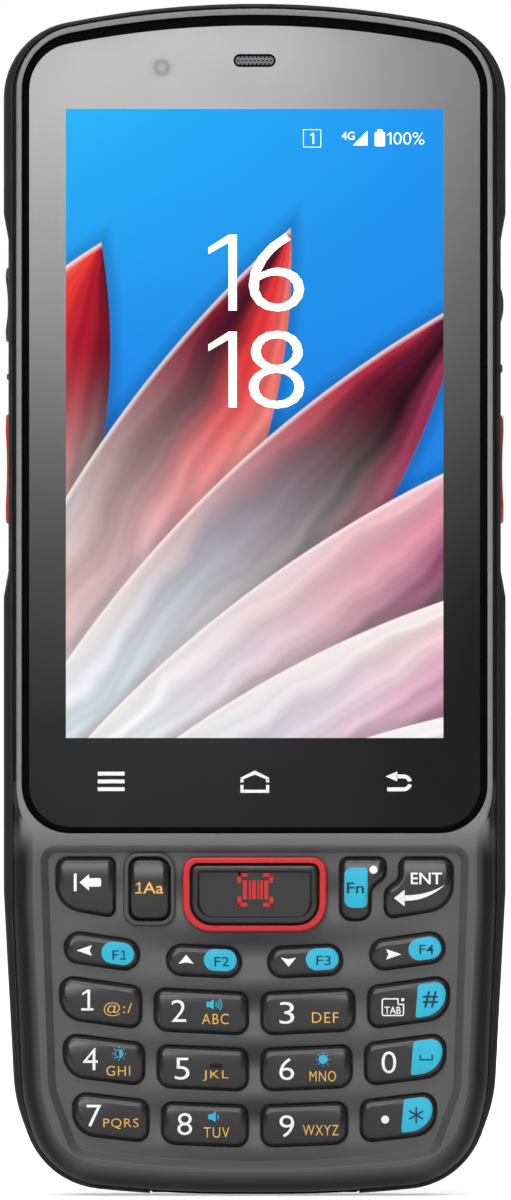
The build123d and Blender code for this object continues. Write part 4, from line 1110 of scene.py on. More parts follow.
@dataclass
class Screen:
    """The lit picture, clock, status signs and touch signs on the cover glass."""

    centre_z: float = 106.15
    width: float = 51.85
    height: float = 86.4
    lift: float = 0.004
    clock_rows: tuple[tuple[str, float], ...] = (("6", 126.87), ("8", 113.55))
    status_z: float = 145.3
    menu_bars_z: tuple[float, ...] = (58.05, 56.98, 55.92)
    sign_line: float = 0.54
    petals: tuple[Petal, ...] = (
        Petal((-52, -56), (-21, 25), 15, 12, ("#F4E4E2", "#E8B0AE", "#F7EDEE", "#FFFFFF"),
              ("#FF8A7E", "#F23A34", "#B0182C", "#5A0C22")),
        Petal((-46, -60), (5, 27), 8, 15, ("#FFFFFF", "#F3CFCF", "#E7EEF4", "#FFFFFF"),
              ("#8E1A34", "#4A0C20", "#E8383A", "#F47A72")),
        Petal((-42, -62), (29, 17), 9, 14, ("#FFFFFF", "#DDE7F0", "#F8F3F4", "#FFFFFF"),
              ("#C0304A", "#5E0F2C", "#2E0818", "#A03458")),
        Petal((-38, -62), (42, 0), 8, 13, ("#FFFFFF", "#EDF1F5", "#F4E0E4", "#FFFFFF"),
              ("#F6C6CC", "#E490A8", "#8C3A62", "#4E1E3E")),
        Petal((-36, -66), (46, -19), 8, 12, ("#FFFFFF", "#D3DEE9", "#F5F7FA", "#FFFFFF"),
              ("#FFF4F6", "#F6D2DA", "#D894B0", "#94507C")),
        Petal((-34, -70), (48, -37), 7, 12, ("#FFFFFF", "#DCE6EF", "#FAFBFC", "#FFFFFF"),
              ("#FFFFFF", "#EED4E0", "#C79ABC", "#A87CA6")),
    )

    def build(self) -> None:
        """Make the picture, the clock, the status row and the three touch signs."""
        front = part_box("cover_glass")[0].y / MM
        picture = LitPicture("lit_picture", self.centre_z, self.height, self.petals).build()
        Shape().bar(0.0, self.centre_z, self.width, self.height).finish(
            "screen_picture", front - self.lift, picture, CASING, "display")
        white = INK[Print.SCREEN]
        self.clock().finish("screen_clock", front - 2 * self.lift, white, CASING, "display")
        self.status_row().finish("screen_status", front - 2 * self.lift, white, CASING, "display")
        signs = Shape()
        self.menu_sign(signs)
        self.home_sign(signs)
        self.back_sign(signs)
        signs.finish("touch_signs", front - self.lift, INK[Print.WHITE], CASING, "ink_white")

    def clock(self) -> Shape:
        """Draw the clock: hours over minutes.

        Returns:
            The figures.
        """
        face = Shape()
        for figure, z in self.clock_rows:
            face.one(-4.4, z, 3.9, 10.4, 1.12, foot=False)
            face.text(figure, 3.0, z, 7.6, 10.7, weight=-0.014)
        return face

    def status_row(self) -> Shape:
        """Draw the row of signs at the top of the picture: card, network, signal, battery and its charge.

        Returns:
            The signs.
        """
        row = Shape()
        z, side, signal_x, signal_z, signal_size = self.status_z, 2.45, 13.5, self.status_z - 0.95, 2.0
        row.outline(7.9, z, side, side, 0.0, 0.06).one(7.9, z, 0.5, 1.5, 0.16, foot=False)
        row.text("4G", 12.85, z + 0.35, 1.75, 1.1, weight=-0.004)
        row.patch([(signal_x, signal_z, 0), (signal_x + signal_size, signal_z, 0),
                   (signal_x + signal_size, signal_z + signal_size, 0)])
        row.bar(17.2, z - 0.1, 1.4, 1.95, 0.2).bar(17.2, z + 1.05, 0.7, 0.35)
        row.one(18.5, z, 0.55, 1.6, 0.19, foot=False).text("00%", 21.2, z, 4.2, 1.65, weight=-0.016)
        return row

    def menu_sign(self, signs: Shape) -> None:
        """Draw the menu sign.

        Args:
            signs: the shape that it goes into.
        """
        for z in self.menu_bars_z:
            signs.bar(-19.7, z, 3.68, 0.53)

    def home_sign(self, signs: Shape) -> None:
        """Draw the house: a foot, two walls, each with a window gap, and a roof.

        Args:
            signs: the shape that it goes into.
        """
        line, middle, half, foot, eaves, apex = 0.42, 0.025, 1.975, 55.42, 57.3, 58.49
        gap_low, gap_high = 56.5, 56.85
        signs.bar(middle, foot + line / 2, 2 * half, line)
        for side in (-1, 1):
            wall, end = middle + side * (half - line / 2), middle + side * half
            signs.bar(wall, (foot + line + gap_low) / 2, line, gap_low - foot - line)
            signs.bar(wall, (gap_high + eaves) / 2, line, eaves - gap_high)
            signs.patch([(middle, apex, 0), (middle, apex - 0.56, 0), (end - side * 0.1, eaves - 0.15, 0),
                         (end, eaves + 0.18, 0)])

    def back_sign(self, signs: Shape) -> None:
        """Draw the arrow that turns back on itself.

        Args:
            signs: the shape that it goes into.
        """
        tip, neck, tail, turn, upper, lower = 17.96, 19.6, 18.2, 20.47, 57.67, 55.9
        shaft, barb, line = neck - 0.1, 0.68, self.sign_line
        signs.patch([(tip, upper, 0), (neck, upper + barb, 0), (neck, upper - barb, 0)])
        signs.bar((shaft + turn) / 2, upper, turn - shaft, line)
        bend, middle = (upper - lower) / 2, (upper + lower) / 2
        signs.arc(turn, middle, bend, line, 14, 90, 10).arc(turn, middle, bend, line, -90, -14, 10)
        signs.bar((tail + turn) / 2, lower, turn - tail, line)


# ---- keys ------------------------------------------------------------------------------------
class Mark(Enum):
    """What kind of sign a legend is."""

    TEXT = auto()
    ONE = auto()
    PILL = auto()
    TRIANGLE = auto()
    DOT = auto()
    SPEAKER = auto()
    SUN = auto()
    HALF_SUN = auto()
    TAB = auto()
    SPACE = auto()
    STAR = auto()
    LEFT_ARROW = auto()
    RETURN_ARROW = auto()
    SCAN = auto()
    TALL_PATCH = auto()
    CORNER_PATCH = auto()


@dataclass(frozen=True)
class Sign:
    """One printed sign: where its middle is from the key's, and its ink size, in millimetres."""

    mark: Mark
    ink: Print
    dx: float
    dz: float
    width: float
    height: float
    words: str = ""
    turn: float = 0.0
    weight: float = 0.0
    waves: int = 0


def digit(words: str, dx: float, dz: float) -> Sign:
    """A white digit at the usual size.

    Args:
        words: the digit.
        dx: its middle to the right of the key's.
        dz: its middle above the key's.

    Returns:
        The sign.
    """
    if words == "1":
        return Sign(Mark.ONE, Print.WHITE, dx, dz, 1.69, 2.88)
    return Sign(Mark.TEXT, Print.WHITE, dx, dz, 2.02, 3.02, words, weight=-0.006)


def letters(words: str, dx: float, dz: float, width: float, height: float = 1.44) -> Sign:
    """Small amber letters."""
    return Sign(Mark.TEXT, Print.AMBER, dx, dz, width, height, words, weight=-0.007)


def function_key(number: str, arrow: tuple[float, float, float], pill: tuple[float, float],
                 text: tuple[float, float]) -> tuple[Sign, ...]:
    """An arrow and a blue pill with the key's name, an F and its number.

    Args:
        number: which function key it is.
        arrow: its dx, dz and turn.
        pill: its dx and dz.
        text: the name's dx and dz.

    Returns:
        The signs.
    """
    dx, dz, turn = arrow
    signs = (Sign(Mark.TRIANGLE, Print.WHITE, dx, dz, 1.45, 2.1, turn=turn),
             Sign(Mark.PILL, Print.CYAN, *pill, 4.5, 3.0))
    if number != "1":
        return (*signs, Sign(Mark.TEXT, Print.NAVY, *text, 2.0, 1.3, f"F{number}", weight=0.004))
    dx, dz = text
    return (*signs, Sign(Mark.TEXT, Print.NAVY, dx - 0.5, dz, 0.85, 1.3, "F", weight=0.004),
            Sign(Mark.ONE, Print.NAVY, dx + 0.55, dz, 0.85, 1.3))


LEGENDS: dict[str, tuple[Sign, ...]] = {
    "key_back": (Sign(Mark.LEFT_ARROW, Print.WHITE, 0.24, 0.61, 3.75, 2.44),),
    "key_alpha": (Sign(Mark.ONE, Print.AMBER, -1.5, 0.16, 0.95, 1.55),
                  Sign(Mark.TEXT, Print.AMBER, 0.5, 0.16, 2.8, 1.58, "Aa", weight=0.006)),
    "key_scan": (Sign(Mark.SCAN, Print.RED, 0.1, 0.62, 4.9, 4.6),),
    "key_fn": (Sign(Mark.TALL_PATCH, Print.CYAN, -0.96, 0.20, 3.17, 5.55),
               Sign(Mark.TEXT, Print.NAVY, -1.04, 0.16, 2.38, 1.51, "Fn", weight=0.014),
               Sign(Mark.DOT, Print.WHITE, 1.45, 2.66, 1.1, 1.1)),
    "key_enter": (Sign(Mark.TEXT, Print.WHITE, 1.04, 1.25, 4.28, 1.59, "ENT", weight=0.012),
                  Sign(Mark.RETURN_ARROW, Print.WHITE, 0.1, -1.0, 7.0, 2.6)),
    "key_f1": function_key("1", (-2.44, 0.10, 180), (2.19, -0.31), (2.37, -0.53)),
    "key_f2": function_key("2", (-2.46, 0.25, 90), (2.23, 0.13), (2.43, -0.06)),
    "key_f3": function_key("3", (-2.29, -0.15, -90), (2.34, 0.27), (2.52, 0.08)),
    "key_f4": function_key("4", (-1.86, -0.43, 0), (2.40, 0.34), (2.65, 0.24)),
    "key_1": (digit("1", -1.83, 0.32), letters("@:/", 2.37, -0.92, 3.86, 1.9)),
    "key_2": (digit("2", -3.10, 0.10), letters("ABC", 1.92, -1.01, 3.68),
              Sign(Mark.SPEAKER, Print.CYAN, 1.91, 0.98, 2.4, 1.4, waves=3)),
    "key_3": (digit("3", -2.90, -0.18), letters("DEF", 2.37, -0.81, 3.62)),
    "key_4": (digit("4", -1.85, 0.09), letters("GHI", 1.98, -1.53, 3.25, 1.37),
              Sign(Mark.HALF_SUN, Print.CYAN, 2.10, 0.84, 1.92, 1.92)),
    "key_5": (digit("5", -2.83, -0.09), letters("JKL", 1.79, -1.04, 3.53)),
    "key_6": (digit("6", -2.72, -0.15), letters("MNO", 2.24, -1.12, 3.62),
              Sign(Mark.SUN, Print.CYAN, 2.28, 1.19, 1.92, 1.92)),
    "key_7": (digit("7", -2.31, 0.23), letters("PQRS", 1.39, -0.86, 4.83)),
    "key_8": (digit("8", -2.77, 0.08), letters("TUV", 1.60, -1.08, 3.53),
              Sign(Mark.SPEAKER, Print.CYAN, 1.57, 1.06, 2.2, 1.5, waves=1)),
    "key_9": (digit("9", -2.40, -0.21), letters("WXYZ", 2.26, -0.76, 4.92)),
    "key_tab": (Sign(Mark.TAB, Print.WHITE, -2.16, -0.64, 3.1, 2.47),
                Sign(Mark.CORNER_PATCH, Print.CYAN, 3.02, 0.43, 4.19, 5.15),
                Sign(Mark.TEXT, Print.NAVY, 3.00, 0.43, 2.06, 2.21, "#", weight=0.012)),
    "key_0": (digit("0", -2.26, -0.36), Sign(Mark.CORNER_PATCH, Print.CYAN, 2.92, 0.45, 4.37, 5.22),
              Sign(Mark.SPACE, Print.NAVY, 2.86, 0.29, 1.84, 0.78)),
    "key_dot": (Sign(Mark.DOT, Print.WHITE, -1.83, -0.29, 1.1, 1.1),
                Sign(Mark.CORNER_PATCH, Print.CYAN, 2.53, 0.43, 4.31, 5.11),
                Sign(Mark.STAR, Print.NAVY, 2.44, 0.33, 2.05, 2.24)),
}


@dataclass
class Stamp:
    """Draws one sign into a flat shape: each kind of sign has a method, and all sizes are millimetres."""

    shape: Shape
    sign: Sign
    x: float
    z: float
    lean: float
    thin_spacing: float = 1.12

    def __post_init__(self) -> None:
        """Find the ink's edges."""
        self.width, self.height = self.sign.width, self.sign.height
        self.left, self.right = self.x - self.width / 2, self.x + self.width / 2
        self.low, self.top = self.z - self.height / 2, self.z + self.height / 2

    def draw(self) -> None:
        """Draw the sign."""
        methods = {
            Mark.TEXT: self.text, Mark.ONE: self.one, Mark.PILL: self.pill, Mark.TRIANGLE: self.triangle,
            Mark.DOT: self.dot, Mark.SPEAKER: self.speaker, Mark.SUN: self.sun, Mark.HALF_SUN: self.sun,
            Mark.TAB: self.tab, Mark.SPACE: self.space, Mark.STAR: self.star, Mark.LEFT_ARROW: self.left_arrow,
            Mark.RETURN_ARROW: self.return_arrow, Mark.SCAN: self.scan, Mark.TALL_PATCH: self.tall_patch,
            Mark.CORNER_PATCH: self.corner_patch}
        methods[self.sign.mark]()

    def text(self) -> None:
        """Draw lettering, set wider where its strokes are thinned."""
        spacing = self.thin_spacing if self.sign.weight < 0 else 1.0
        self.shape.text(self.sign.words, self.x, self.z, self.width, self.height, self.sign.weight, spacing)

    def one(self) -> None:
        """Draw a one, with a thicker stroke when it is a key's main digit."""
        stroke = 0.36 if self.height > 2 else 0.145 * self.height
        self.shape.one(self.x, self.z, self.width, self.height, stroke)

    def pill(self) -> None:
        """Draw a bar with round ends that leans with its row."""
        self.shape.bar(self.x, self.z, self.width, self.height, self.height / 2 - 0.01, self.lean)

    def dot(self) -> None:
        """Draw a round dot."""
        self.shape.disc(self.x, self.z, self.width / 2)

    def triangle(self) -> None:
        """Draw an arrow head with a hollow back, pointing right when its turn is zero."""
        length, span, hollow = self.height / 2, self.width / 2, 0.3
        if abs(self.sign.turn) == 90:
            length, span, hollow = self.width / 2 - 0.1, self.height / 2, 0.2
        turn = math.radians(self.sign.turn)
        cos, sin = math.cos(turn), math.sin(turn)
        self.shape.patch([(self.x + a * cos - b * sin, self.z + a * sin + b * cos, 0)
                          for a, b in ((length, 0), (-length, span), (hollow - length, 0), (-length, -span))])

    def speaker(self) -> None:
        """Draw a loudspeaker with its sound waves."""
        neck, rim, soft, half = self.left + 0.35, self.left + 1.0, 0.08, self.height / 2
        self.shape.bar(self.left + 0.2, self.z, 0.4, 0.7)
        self.shape.patch([(neck, self.z + 0.3, 0), (neck, self.z - 0.3, 0), (rim, self.z - half, soft),
                          (rim, self.z + half, soft)])
        for i in range(self.sign.waves):
            self.shape.arc(self.left + 0.95, self.z, 0.42 + i * 0.36, 0.14, -42, 42, 8)

    def sun(self) -> None:
        """Draw a sun with eight round rays, or one whose left half is only a line."""
        core, line, orbit, rays = 0.62, 0.12, 0.88, 8
        if self.sign.mark is Mark.SUN:
            self.shape.disc(self.x, self.z, core, 24)
        else:
            self.shape.arc(self.x, self.z, core - line / 2, line, 0, 360, 24)
            self.shape.arc(self.x, self.z, core / 2, core, -90, 90, 12)
        for i in range(rays):
            angle = math.tau * i / rays
            self.shape.disc(self.x + orbit * math.cos(angle), self.z + orbit * math.sin(angle), 0.1, 8)

    def tab(self) -> None:
        """Draw a boxed word whose top right corner is open round a small square."""
        x, z, half_w, half_h = self.x, self.z, self.width / 2, self.height / 2
        line, notch, bend, square = 0.18, 0.85, 0.35, 0.4
        bar = self.shape.bar
        for side, end, start in ((-1, 1, 90), (-1, -1, 180), (1, -1, 270)):
            self.shape.arc(x + side * (half_w - bend), z + end * (half_h - bend), bend - line / 2, line, start,
                           start + 90, 6)
        bar(x - half_w + line / 2, z, line, self.height - 2 * bend)
        bar(x, z - half_h + line / 2, self.width - 2 * bend, line)
        bar(x + (bend - notch) / 2, z + half_h - line / 2, self.width - bend - notch, line)
        bar(x + half_w - line / 2, z + (bend - notch) / 2, line, self.height - bend - notch)
        bar(x + half_w - notch, z + half_h - notch / 2, line, notch)
        bar(x + half_w - notch / 2, z + half_h - notch, notch, line)
        bar(x + half_w - square / 2, z + half_h - square / 2, square, square, 0.08)
        self.shape.text("TAB", x - 0.03, z - 0.42, self.width - notch, 1.0, 0.012)

    def space(self) -> None:
        """Draw the space sign: a flat bracket, open upwards."""
        line = 0.2
        self.shape.bar(self.x, self.low + line / 2, self.width, line)
        for side in (-1, 1):
            self.shape.bar(self.x + side * (self.width - line) / 2, self.z, line, self.height)

    def star(self) -> None:
        """Draw a star of three crossed bars."""
        for turn in (30, 90, 150):
            self.shape.bar(self.x, self.z, self.height, 0.24, 0.0, turn)

    def left_arrow(self) -> None:
        """Draw an arrow that points at a post on its left."""
        post, tip, neck, barb, half = 0.4, self.left + 0.78, self.left + 2.1, 1.14, 0.59
        self.shape.bar(self.left + post / 2, self.z, post, self.height, 0.12)
        self.shape.patch([(tip, self.z, 0.1), (neck, self.z + barb, 0.1), (neck, self.z + half, 0),
                          (self.right, self.z + half, 0.25), (self.right, self.z - half, 0.25),
                          (neck, self.z - half, 0), (neck, self.z - barb, 0.1)])

    def return_arrow(self) -> None:
        """Draw an arrow head at the left and a tail that sweeps up to a point at the right."""
        low, barb, soft, half, sweep = self.z - 0.45, 1.15, 0.08, 0.38, 2.3
        neck, start, steps = self.left + 1.45, self.left + 1.3, 14
        self.shape.patch([(self.left, low, soft), (neck, low + barb, soft), (neck, low - barb, soft)])
        rail = [(i / steps, start + (self.right - start) * i / steps) for i in range(steps + 1)]
        upper = [(x, low + half + 1.45 * t ** sweep, 0) for t, x in rail]
        under = [(x, low - half + 2.21 * t ** sweep, 0) for t, x in reversed(rail[:-1])]
        self.shape.patch(upper + under)

    def scan(self) -> None:
        """Draw a bar code between four corner brackets."""
        half_w, half_h, line, arm, margin = self.width / 2, self.height / 2, 0.5, 1.35, 1.0
        for side, end in ((-1, -1), (-1, 1), (1, -1), (1, 1)):
            for width, height in ((arm, line), (line, arm)):
                self.shape.bar(self.x + side * (half_w - width / 2), self.z + end * (half_h - height / 2),
                               width, height)
        for offset, thick in ((-1.45, 0.5), (-0.75, 0.25), (-0.2, 0.45), (0.4, 0.22), (0.85, 0.3), (1.5, 0.5)):
            self.shape.bar(self.x + offset, self.z, thick, self.height - 2 * margin)

    def tall_patch(self) -> None:
        """Draw an upright patch with soft corners."""
        self.shape.patch([(self.left, self.top, 1.0), (self.right, self.top, 0.4), (self.right, self.low, 0.8),
                          (self.left, self.low, 1.1)])

    def corner_patch(self) -> None:
        """Draw a patch that fills a key's outer end and leans with its row."""
        drop = math.tan(math.radians(self.lean)) * self.width
        inset = 0.08 * (self.height - drop)
        self.shape.patch([(self.left + inset, self.top - drop, 0.4), (self.right, self.top, 1.8),
                          (self.right, self.low + drop, 3.0), (self.left, self.low, 0.4)])


@dataclass
class KeyPrint:
    """The printed signs of one key, laid on its domed top."""

    node: str
    grid: float = 0.25
    patch_lift: float = 0.025
    sign_lift: float = 0.04
    start_y: float = -11.0

    def build(self) -> None:
        """Print the key: patches first, then signs, one piece for each ink."""
        low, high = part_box(self.node)
        x, z = (low.x + high.x) / 2 / MM, (low.z + high.z) / 2 / MM
        lean = math.degrees(math.atan2(x, ROW_CENTRE_Z - z))
        drape = Drape(self.node)
        for ink in Print:
            signs = [sign for sign in LEGENDS[self.node] if sign.ink is ink]
            if not signs:
                continue
            shape = Shape()
            for sign in signs:
                Stamp(shape, sign, x + sign.dx, z + sign.dz, lean).draw()
            piece = shape.finish(f"{self.node}_{ink.name.lower()}", self.start_y, INK[ink], self.node,
                                 INK_SLOT[ink], grid=self.grid)
            drape.apply(piece, self.patch_lift if ink is Print.CYAN else self.sign_lift)


@dataclass
class HomeBar:
    """The short raised bar that a finger finds on the middle key."""

    node: str = "key_5"
    dx: float = 1.83
    dz: float = 0.32
    width: float = 1.75
    height: float = 0.55
    corner: float = 0.27
    depth: float = 0.5
    proud: float = 0.22
    soft: float = 0.1

    def build(self) -> None:
        """Make the bar, sunk into the key with its front rounded off."""
        low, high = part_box(self.node)
        x, z = (low.x + high.x) / 2 / MM + self.dx, (low.z + high.z) / 2 / MM + self.dz
        bar = Shape().bar(x, z, self.width, self.height, self.corner).mesh
        grown = bmesh.ops.extrude_face_region(bar, geom=bar.faces[:])["geom"]
        front = [g for g in grown if isinstance(g, bmesh.types.BMVert)]
        bmesh.ops.translate(bar, vec=(0, -self.depth, 0), verts=front)
        bmesh.ops.translate(bar, vec=(0, low.y / MM - self.proud + self.depth, 0), verts=bar.verts[:])
        edges = [e for e in bar.edges if all(v in front for v in e.verts)]
        bmesh.ops.bevel(bar, geom=edges, offset=self.soft, affect="EDGES", segments=3, profile=0.5, material=-1)
        bmesh.ops.recalc_face_normals(bar, faces=bar.faces[:])
        bmesh.ops.scale(bar, vec=(MM, MM, MM), verts=bar.verts[:])
        make_piece("key_5_home_bar", bar, MADE["module_black"], self.node)


# ---- small hardware --------------------------------------------------------------------------
@dataclass
class FrontFittings:
    """What shows through and round the cover glass: the camera's lens and the earpiece's rim."""

    camera_x: float = -12.74
    camera_z: float = 155.03
    surround: BlackGlass = BlackGlass("lens_surround", "#060607", specular=0.46)
    surround_radius: float = 1.42
    surround_width: float = 0.5
    lens: BlackGlass = BlackGlass("front_lens", "#07070A", specular=0.34)
    lens_radius: float = 1.19
    core: BlackGlass = BlackGlass("front_lens_core", "#0A0A10", specular=0.42)
    core_radius: float = 0.5
    slot_z: float = 156.0
    slot_width: float = 5.8
    slot_height: float = 1.8
    slot_radius: float = 0.89
    slot_line: float = 0.3
    slot_depth: float = 0.1
    lift: float = 0.004

    def build(self) -> None:
        """Make the lens rings and the slot's rim."""
        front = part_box("cover_glass")[0].y / MM
        x, z = self.camera_x, self.camera_z
        for i, (name, glass, shape) in enumerate((
                ("camera_surround", self.surround,
                 Shape().arc(x, z, self.surround_radius, self.surround_width, 0, 360, 40)),
                ("camera_lens", self.lens, Shape().disc(x, z, self.lens_radius, 40)),
                ("camera_lens_core", self.core, Shape().disc(x, z, self.core_radius, 24))), start=1):
            shape.finish(name, front - i * self.lift, glass.build(), CASING, "cover_glass")
        Shape().outline(0, self.slot_z, self.slot_width, self.slot_height, self.slot_radius,
                        self.slot_line).finish("earpiece_rim", front + self.slot_depth, MADE["seal_rubber"],
                                               CASING, "seal_rubber")


@dataclass
class BackFittings:
    """Fine hardware on the back: screw heads with sockets, camera rings and the speaker's mesh."""

    screw_places: tuple[tuple[float, float, float], ...] = (
        (28.0, 16.0, 6.6), (28.0, 84.0, 6.6), (26.5, 151.0, 10.5))    # x, z and the face that they sink into
    head_radius: float = 1.6
    head_low: float = 1.5
    head_high: float = 0.4
    dome: tuple[tuple[float, float], ...] = ((0.94, 0.2), (0.84, 0.1))    # radius, of the head's, and rise
    socket_rim: float = 0.3
    socket_radius: float = 0.78
    socket_lobe: float = 0.13
    socket_depth: float = 0.7
    camera_x: float = 16.5
    camera_z: float = 146.0
    camera_rings: tuple[tuple[float, float, int], ...] = ((3.95, 0.3, 48), (2.15, 0.22, 40))
    lens: BlackGlass = BlackGlass("rear_lens", "#0C1430", specular=0.8)
    lens_radius: float = 1.35
    speaker_x: float = -17.5
    speaker_z: float = 130.0
    sheet_lift: float = 0.03
    sheet_size: float = 11.6
    sheet_corner: float = 1.0
    hole_pitch: float = 0.75
    hole_rows: int = 14
    hole_radius: float = 0.24

    def screw_head(self, mesh: bmesh.types.BMesh, x: float, z: float, back: float) -> None:
        """Add one domed head with a six-lobed socket.

        Args:
            mesh: what it is added to, in millimetres.
            x: its middle.
            z: its middle.
            back: depth of the face that it sinks into.
        """
        before = set(mesh.verts)
        bmesh.ops.create_circle(mesh, cap_ends=True, segments=36, radius=self.head_radius)
        face = next(f for f in mesh.faces if set(f.verts).isdisjoint(before))
        cylinder = self.head_low - self.head_high - sum(step for _, step in self.dome)
        for share, step in ((1.0, cylinder), *self.dome):
            grown = bmesh.ops.extrude_face_region(mesh, geom=[face])["geom"]
            face = next(g for g in grown if isinstance(g, bmesh.types.BMFace))
            bmesh.ops.translate(mesh, vec=(0, 0, step), verts=face.verts)
            scale = share * self.head_radius / max(v.co.xy.length for v in face.verts)
            bmesh.ops.scale(mesh, vec=(scale, scale, 1), verts=face.verts)
        bmesh.ops.inset_region(mesh, faces=[face], thickness=self.socket_rim)
        for vert in face.verts:
            angle = math.atan2(vert.co.y, vert.co.x)
            length = self.socket_radius * (1 + self.socket_lobe * math.cos(6 * angle))
            vert.co.xy = (length * math.cos(angle), length * math.sin(angle))
        grown = bmesh.ops.extrude_face_region(mesh, geom=[face])["geom"]
        floor = next(g for g in grown if isinstance(g, bmesh.types.BMFace))
        bmesh.ops.translate(mesh, vec=(0, 0, -self.socket_depth), verts=floor.verts)
        new = [v for v in mesh.verts if v not in before]
        turn = Matrix.Translation((x, back - self.head_low, z)) @ Matrix.Rotation(math.radians(-90), 4, "X")
        bmesh.ops.transform(mesh, matrix=turn, verts=new)

    def screws(self) -> None:
        """Make the six screw heads, which stand for the plain ones."""
        mesh = bmesh.new()
        for x, z, back in self.screw_places:
            for side in (-1, 1):
                self.screw_head(mesh, side * x, z, back)
        bmesh.ops.recalc_face_normals(mesh, faces=mesh.faces[:])
        bmesh.ops.scale(mesh, vec=(MM, MM, MM), verts=mesh.verts[:])
        piece = make_piece("screw_heads", mesh, MADE["screw_steel"], CASING)
        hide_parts("housing_screws")

    def camera(self) -> None:
        """Make the rings and lens behind the rear camera's window."""
        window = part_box("rear_camera_window")[1].y / MM
        rings = Shape()
        for radius, width, steps in self.camera_rings:
            rings.arc(self.camera_x, self.camera_z, radius, width, 0, 360, steps)
        rings.finish("rear_camera_rings", window + 0.01, MADE["connector_steel"], CASING, "connector_steel",
                     back=True)
        Shape().disc(self.camera_x, self.camera_z, self.lens_radius, 36).finish(
            "rear_camera_lens", window + 0.015, self.lens.build(), CASING, "camera_window", back=True)

    def speaker(self) -> None:
        """Make the sheet that shows in the speaker's slots, with black discs painted on it as the shade inside
        its holes.
        """
        sheet_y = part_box("loudspeaker")[1].y / MM + self.sheet_lift
        sheet = Shape().bar(self.speaker_x, self.speaker_z, self.sheet_size, self.sheet_size, self.sheet_corner)
        sheet.finish("speaker_sheet", sheet_y, MADE["mesh_steel"], CASING, "mesh_steel", back=True)
        # painted shade: black discs on the sheet stand for the dark hollows of its holes
        hole_shade, middle = Shape(), (self.hole_rows - 1) / 2
        for row in range(self.hole_rows):
            shift = (row % 2) / 2 - 0.25    # every second row stands half a pitch over
            for column in range(self.hole_rows):
                hole_shade.disc(self.speaker_x + (column - middle + shift) * self.hole_pitch,
                           self.speaker_z + (row - middle) * self.hole_pitch, self.hole_radius, 8)
        hole_shade.finish("speaker_hole_shade", sheet_y + 0.01, MADE["seal_rubber"], CASING, "seal_rubber", back=True)

    def build(self) -> None:
        """Make everything on the back."""
        self.screws()
        self.camera()
        self.speaker()


# ---- room and camera -------------------------------------------------------------------------
@dataclass(frozen=True)
class Lamp:
    """A soft lamp: where it stands and its width and height in metres, and its power in watts."""

    name: str
    place: tuple[float, float, float]
    size: tuple[float, float]
    power: float
    target: tuple[float, float, float] = (0, 0, 0.08)

    def build(self) -> None:
        """Hang the lamp and point it at the device."""
        data = bpy.data.lights.new(self.name, "AREA")
        data.shape = "RECTANGLE"
        data.size, data.size_y = self.size
        data.energy = self.power
        lamp = bpy.data.objects.new(self.name, data)
        lamp.location = self.place
        aim = Vector(self.target) - Vector(self.place)
        lamp.rotation_euler = aim.to_track_quat("-Z", "Y").to_euler()
        bpy.context.scene.collection.objects.link(lamp)


